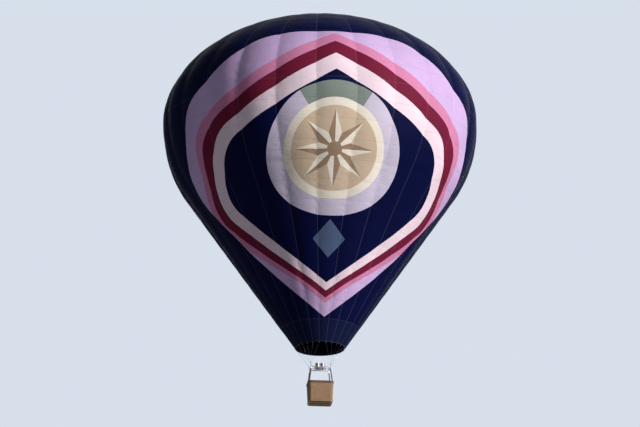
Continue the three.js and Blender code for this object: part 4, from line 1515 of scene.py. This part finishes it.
def fuel_cylinder(name):
    """A dished shell on a foot ring, a guard with hand holes, a valve and a gauge, in two straps."""
    (width, _, height), middle = size_and_middle(f"fuel_cylinder_{name}")
    x, y = middle[:2]
    radius = width / 2
    base = at(x, y, middle[2] - height / 2)
    shell_foot, shell_top = 0.022, height - 0.115
    dish = [(radius * sin(t), radius / 3 * (1 - cos(t))) for t in np.linspace(0.15, TURN / 4, 9)]
    bead = radius + 0.0012
    outline = [(0, shell_foot), *[(r, shell_foot + z) for r, z in dish]]
    outline += [(radius, 0.38), (bead, 0.384), (bead, 0.396), (radius, 0.40)]
    outline += [*[(r, shell_top - z) for r, z in dish[::-1]], (0, shell_top)]
    shape = Shape().add(turned(outline, 56), where=base)
    drum(radius * 0.72, 0.003, [0.0, 0.010, 0.026, 0.040], 48, foot_holes, shape, base, 1)
    guard, lip = radius * 0.68, height - 0.004
    heights = [*[shell_top + z for z in (-0.012, 0.022, 0.040, 0.085)], lip]
    drum(guard, 0.003, heights, 48, hand_holes, shape, base, 1)
    shape.add(turned(circle(0.004, 10, (guard - 0.0015, lip)), 48, closed=True), 1, base)

    top = base @ at(z=shell_top)
    stem = millimetres((0, -3), (18, -3), (18, 9), (12, 11), (12, 37), (15, 39), (15, 49), (0, 49))
    shape.add(turned(stem, 24), 2, top)
    shape.add(turned(circle(0.005, 8, (0.017, 0.060)), 32, closed=True), 3, top)
    shape.add(tube_between((0, 0, 0.046), (0, 0, 0.064), 0.005, 12), 2, top)
    shape.add(tube_between((0, 0, 0.025), (0.042, 0, 0.025), 0.008, 18), 2, top)
    for turn in turns(3):
        shape.add(block(0.030, 0.005, 0.004, 0.0015), 3, top @ at(z=0.060, turn=turn) @ at(0.003))
    gauge = millimetres((0, 0), (20, 0), (22, 2), (22, 10), (20, 12), (18, 12), (18, 10), (0, 10))
    beside = top @ at(-0.045, 0, -0.001)
    shape.add(turned(gauge, 32), 2, beside)
    shape.add(turned(box_outline(0, 0.0178, 0.0101, 0.0108), 32), 4, beside)
    piece(f"cylinder_{name}", shape, [BRUSHED, STEEL, BRASS, RED_ENAMEL, DIAL],
          [f"fuel_cylinder_{name}"])

    strap = Shape()
    for level in (0.20, 0.56):
        band = box_outline(radius + 0.0008, radius + 0.0034, level, level + 0.045)
        strap.add(turned(band, 56, closed=True), where=base)
        spot = base @ at(z=level + 0.0225, turn=atan2(-y, -x)) @ at(radius + 0.005)
        strap.add(block(0.006, 0.050, 0.056, 0.002), 1, spot)
        strap.add(block(0.009, 0.012, 0.050, 0.002), 1, spot @ at(0.002, 0.006))
    piece(f"strap_{name}", strap, [WEBBING, STEEL])


def extinguisher():
    (width, _, height), middle = size_and_middle("fire_extinguisher")
    radius = width / 2
    base = at(*middle[:2], middle[2] - height / 2)
    neck, shoulder = 0.016, height - 0.090
    outline = [(0, 0.004), (radius * 0.8, 0.004), (radius * 0.86, 0.0), (radius * 0.97, 0.0), (radius, 0.006)]
    outline += [(radius, shoulder * 0.5), (radius, shoulder)]
    quarter = np.linspace(0, TURN / 4, 9)[1:]
    outline += [(neck + (radius - neck) * cos(t), shoulder + 0.034 * sin(t)) for t in quarter]
    outline += [(neck, shoulder + 0.040), (0, shoulder + 0.040)]
    shape = Shape().add(turned(outline, 48), where=base)
    top = height - 0.012
    valve = [(0, shoulder + 0.036), (0.018, shoulder + 0.036), (0.018, shoulder + 0.050),
             (0.013, shoulder + 0.052), (0.013, top), (0, top)]
    shape.add(turned(valve, 24), 1, base)
    band = box_outline(radius + 0.0004, radius + 0.0022, 0.15, 0.175)
    shape.add(turned(band, 48, closed=True), 2, base)

    head = base @ at(z=height - 0.022)
    shape.add(block(0.070, 0.018, 0.006, 0.002), 2, head @ at(0, -0.022, 0, TURN / 4))
    lever = head @ at(0, -0.026, 0.012, TURN / 4) @ Matrix.Rotation(0.16, 4, "Y")
    shape.add(block(0.075, 0.018, 0.004, 0.0015), 2, lever)
    shape.add(tube_between((0, 0.008, -0.010), (0, 0.038, -0.016), 0.006, 14), 1, head)
    shape.add(tube_between((0, 0.036, -0.016), (0, 0.046, -0.018), 0.009, 16), 3, head)
    gauge = millimetres((0, 0), (11, 0), (12, 1), (12, 7), (10, 8), (0, 8))
    shape.add(turned(gauge, 20), 1, head @ standing((0.011, 0, -0.012), (1, 0, 0)))
    pin_ring = hoop(Vector((-0.022, -0.004, 0.004)), Vector((1, 0, 0)), UP, 0.011, 16)
    shape.add(swept(pin_ring, circle(0.0012, 6), closed=True), 1, head)
    piece("extinguisher", shape, [RED_ENAMEL, STEEL, BLACK, RUBBER], ["fire_extinguisher"])


gores()
mouth_band()
parachute_vent()
tapes()
crown_ring()
for corner_name, signs in CORNERS.items():
    flying_wires(corner_name, signs)
    karabiner(corner_name, signs)
load_frame()
gimbal()
manifold()
for side_name, middle_x in (("left", -CAN_MIDDLE), ("right", CAN_MIDDLE)):
    burner_can(side_name, middle_x)
    burner_coil(side_name, middle_x)
    jet_ring(side_name, middle_x)
    blast_valve(side_name, middle_x)
wicker_walls()
rim_padding(*levels_of("basket_rim"))
rim_trim(*levels_of("basket_rim"))
foot_binding()
basket_floor()
uprights()
for corner_name in CORNERS:
    fuel_cylinder(corner_name)
extinguisher()


# Stage

LENS = 500
SENSOR = 36
CAMERA_DISTANCE = 490.0
CAMERA_TILT = radians(18)
CAMERA_TURN = radians(-6)
VIEW_END = 2000
EYE_HEIGHT = 1.6
FLOOR_RADIUS = 600
# Each sun's name, its strength, how wide it is, and its turn and height, all three in degrees
SUNS = (("key", 5.2, 8, 50, 13), ("fill", 0.12, 60, 0, -10), ("back", 1.4, 60, 165, 25))


def camera():
    middle = Vector((0, 0, (CAD_BOX[0][2] + CAD_BOX[1][2]) / 2))
    away = direction(CAMERA_TURN, -CAMERA_TILT)
    made = linked("camera", bpy.data.cameras.new("camera"))
    made.data.lens = LENS
    made.data.sensor_width = SENSOR
    made.data.clip_end = VIEW_END
    made.location = middle + away * CAMERA_DISTANCE
    made.rotation_euler = (-away).to_track_quat("-Z", "Y").to_euler()
    bpy.context.scene.camera = made
    return made


def floor(height):
    """A wide floor at a height, paler to the camera than to the light, and clear from below."""
    mat = Finish("pale_floor")
    seen = mat.add("ShaderNodeLightPath").outputs["Is Camera Ray"]
    mat.set(Roughness=0.9, Base_Color=mat.mix(seen, (0.32, 0.33, 0.36, 1), (0.80, 0.80, 0.81, 1)))
    under = mat.add("ShaderNodeNewGeometry").outputs["Backfacing"]
    mesh = bpy.data.meshes.new("floor")
    mesh.from_pydata([(x, y, height) for x, y in circle(FLOOR_RADIUS, 96)], [], [list(range(96))])
    mesh.materials.append(mat.mix_with(under, mat.add("ShaderNodeBsdfTransparent")))
    linked("floor", mesh)


def light():
    """A pale sky that is dimmer as a light than to the camera, and three suns."""
    world = bpy.data.worlds.new("studio")
    world.use_nodes = True
    nodes = Nodes(world.node_tree)
    seen = nodes.add("ShaderNodeLightPath").outputs["Is Camera Ray"]
    background = world.node_tree.nodes["Background"]
    background.inputs["Color"].default_value = (0.80, 0.87, 0.98, 1)
    nodes.put(background.inputs["Strength"], nodes.range(seen, 0.22, 0.85))
    bpy.context.scene.world = world
    for name, strength, spread, turn, height in SUNS:
        sun = bpy.data.lights.new(name, "SUN")
        sun.energy = strength
        sun.angle = radians(spread)
        toward = direction(radians(turn), radians(height))
        linked(name, sun).rotation_euler = toward.to_track_quat("Z", "Y").to_euler()


floor(camera().location.z - EYE_HEIGHT)
light()
bpy.context.scene.view_settings.view_transform = "Standard"
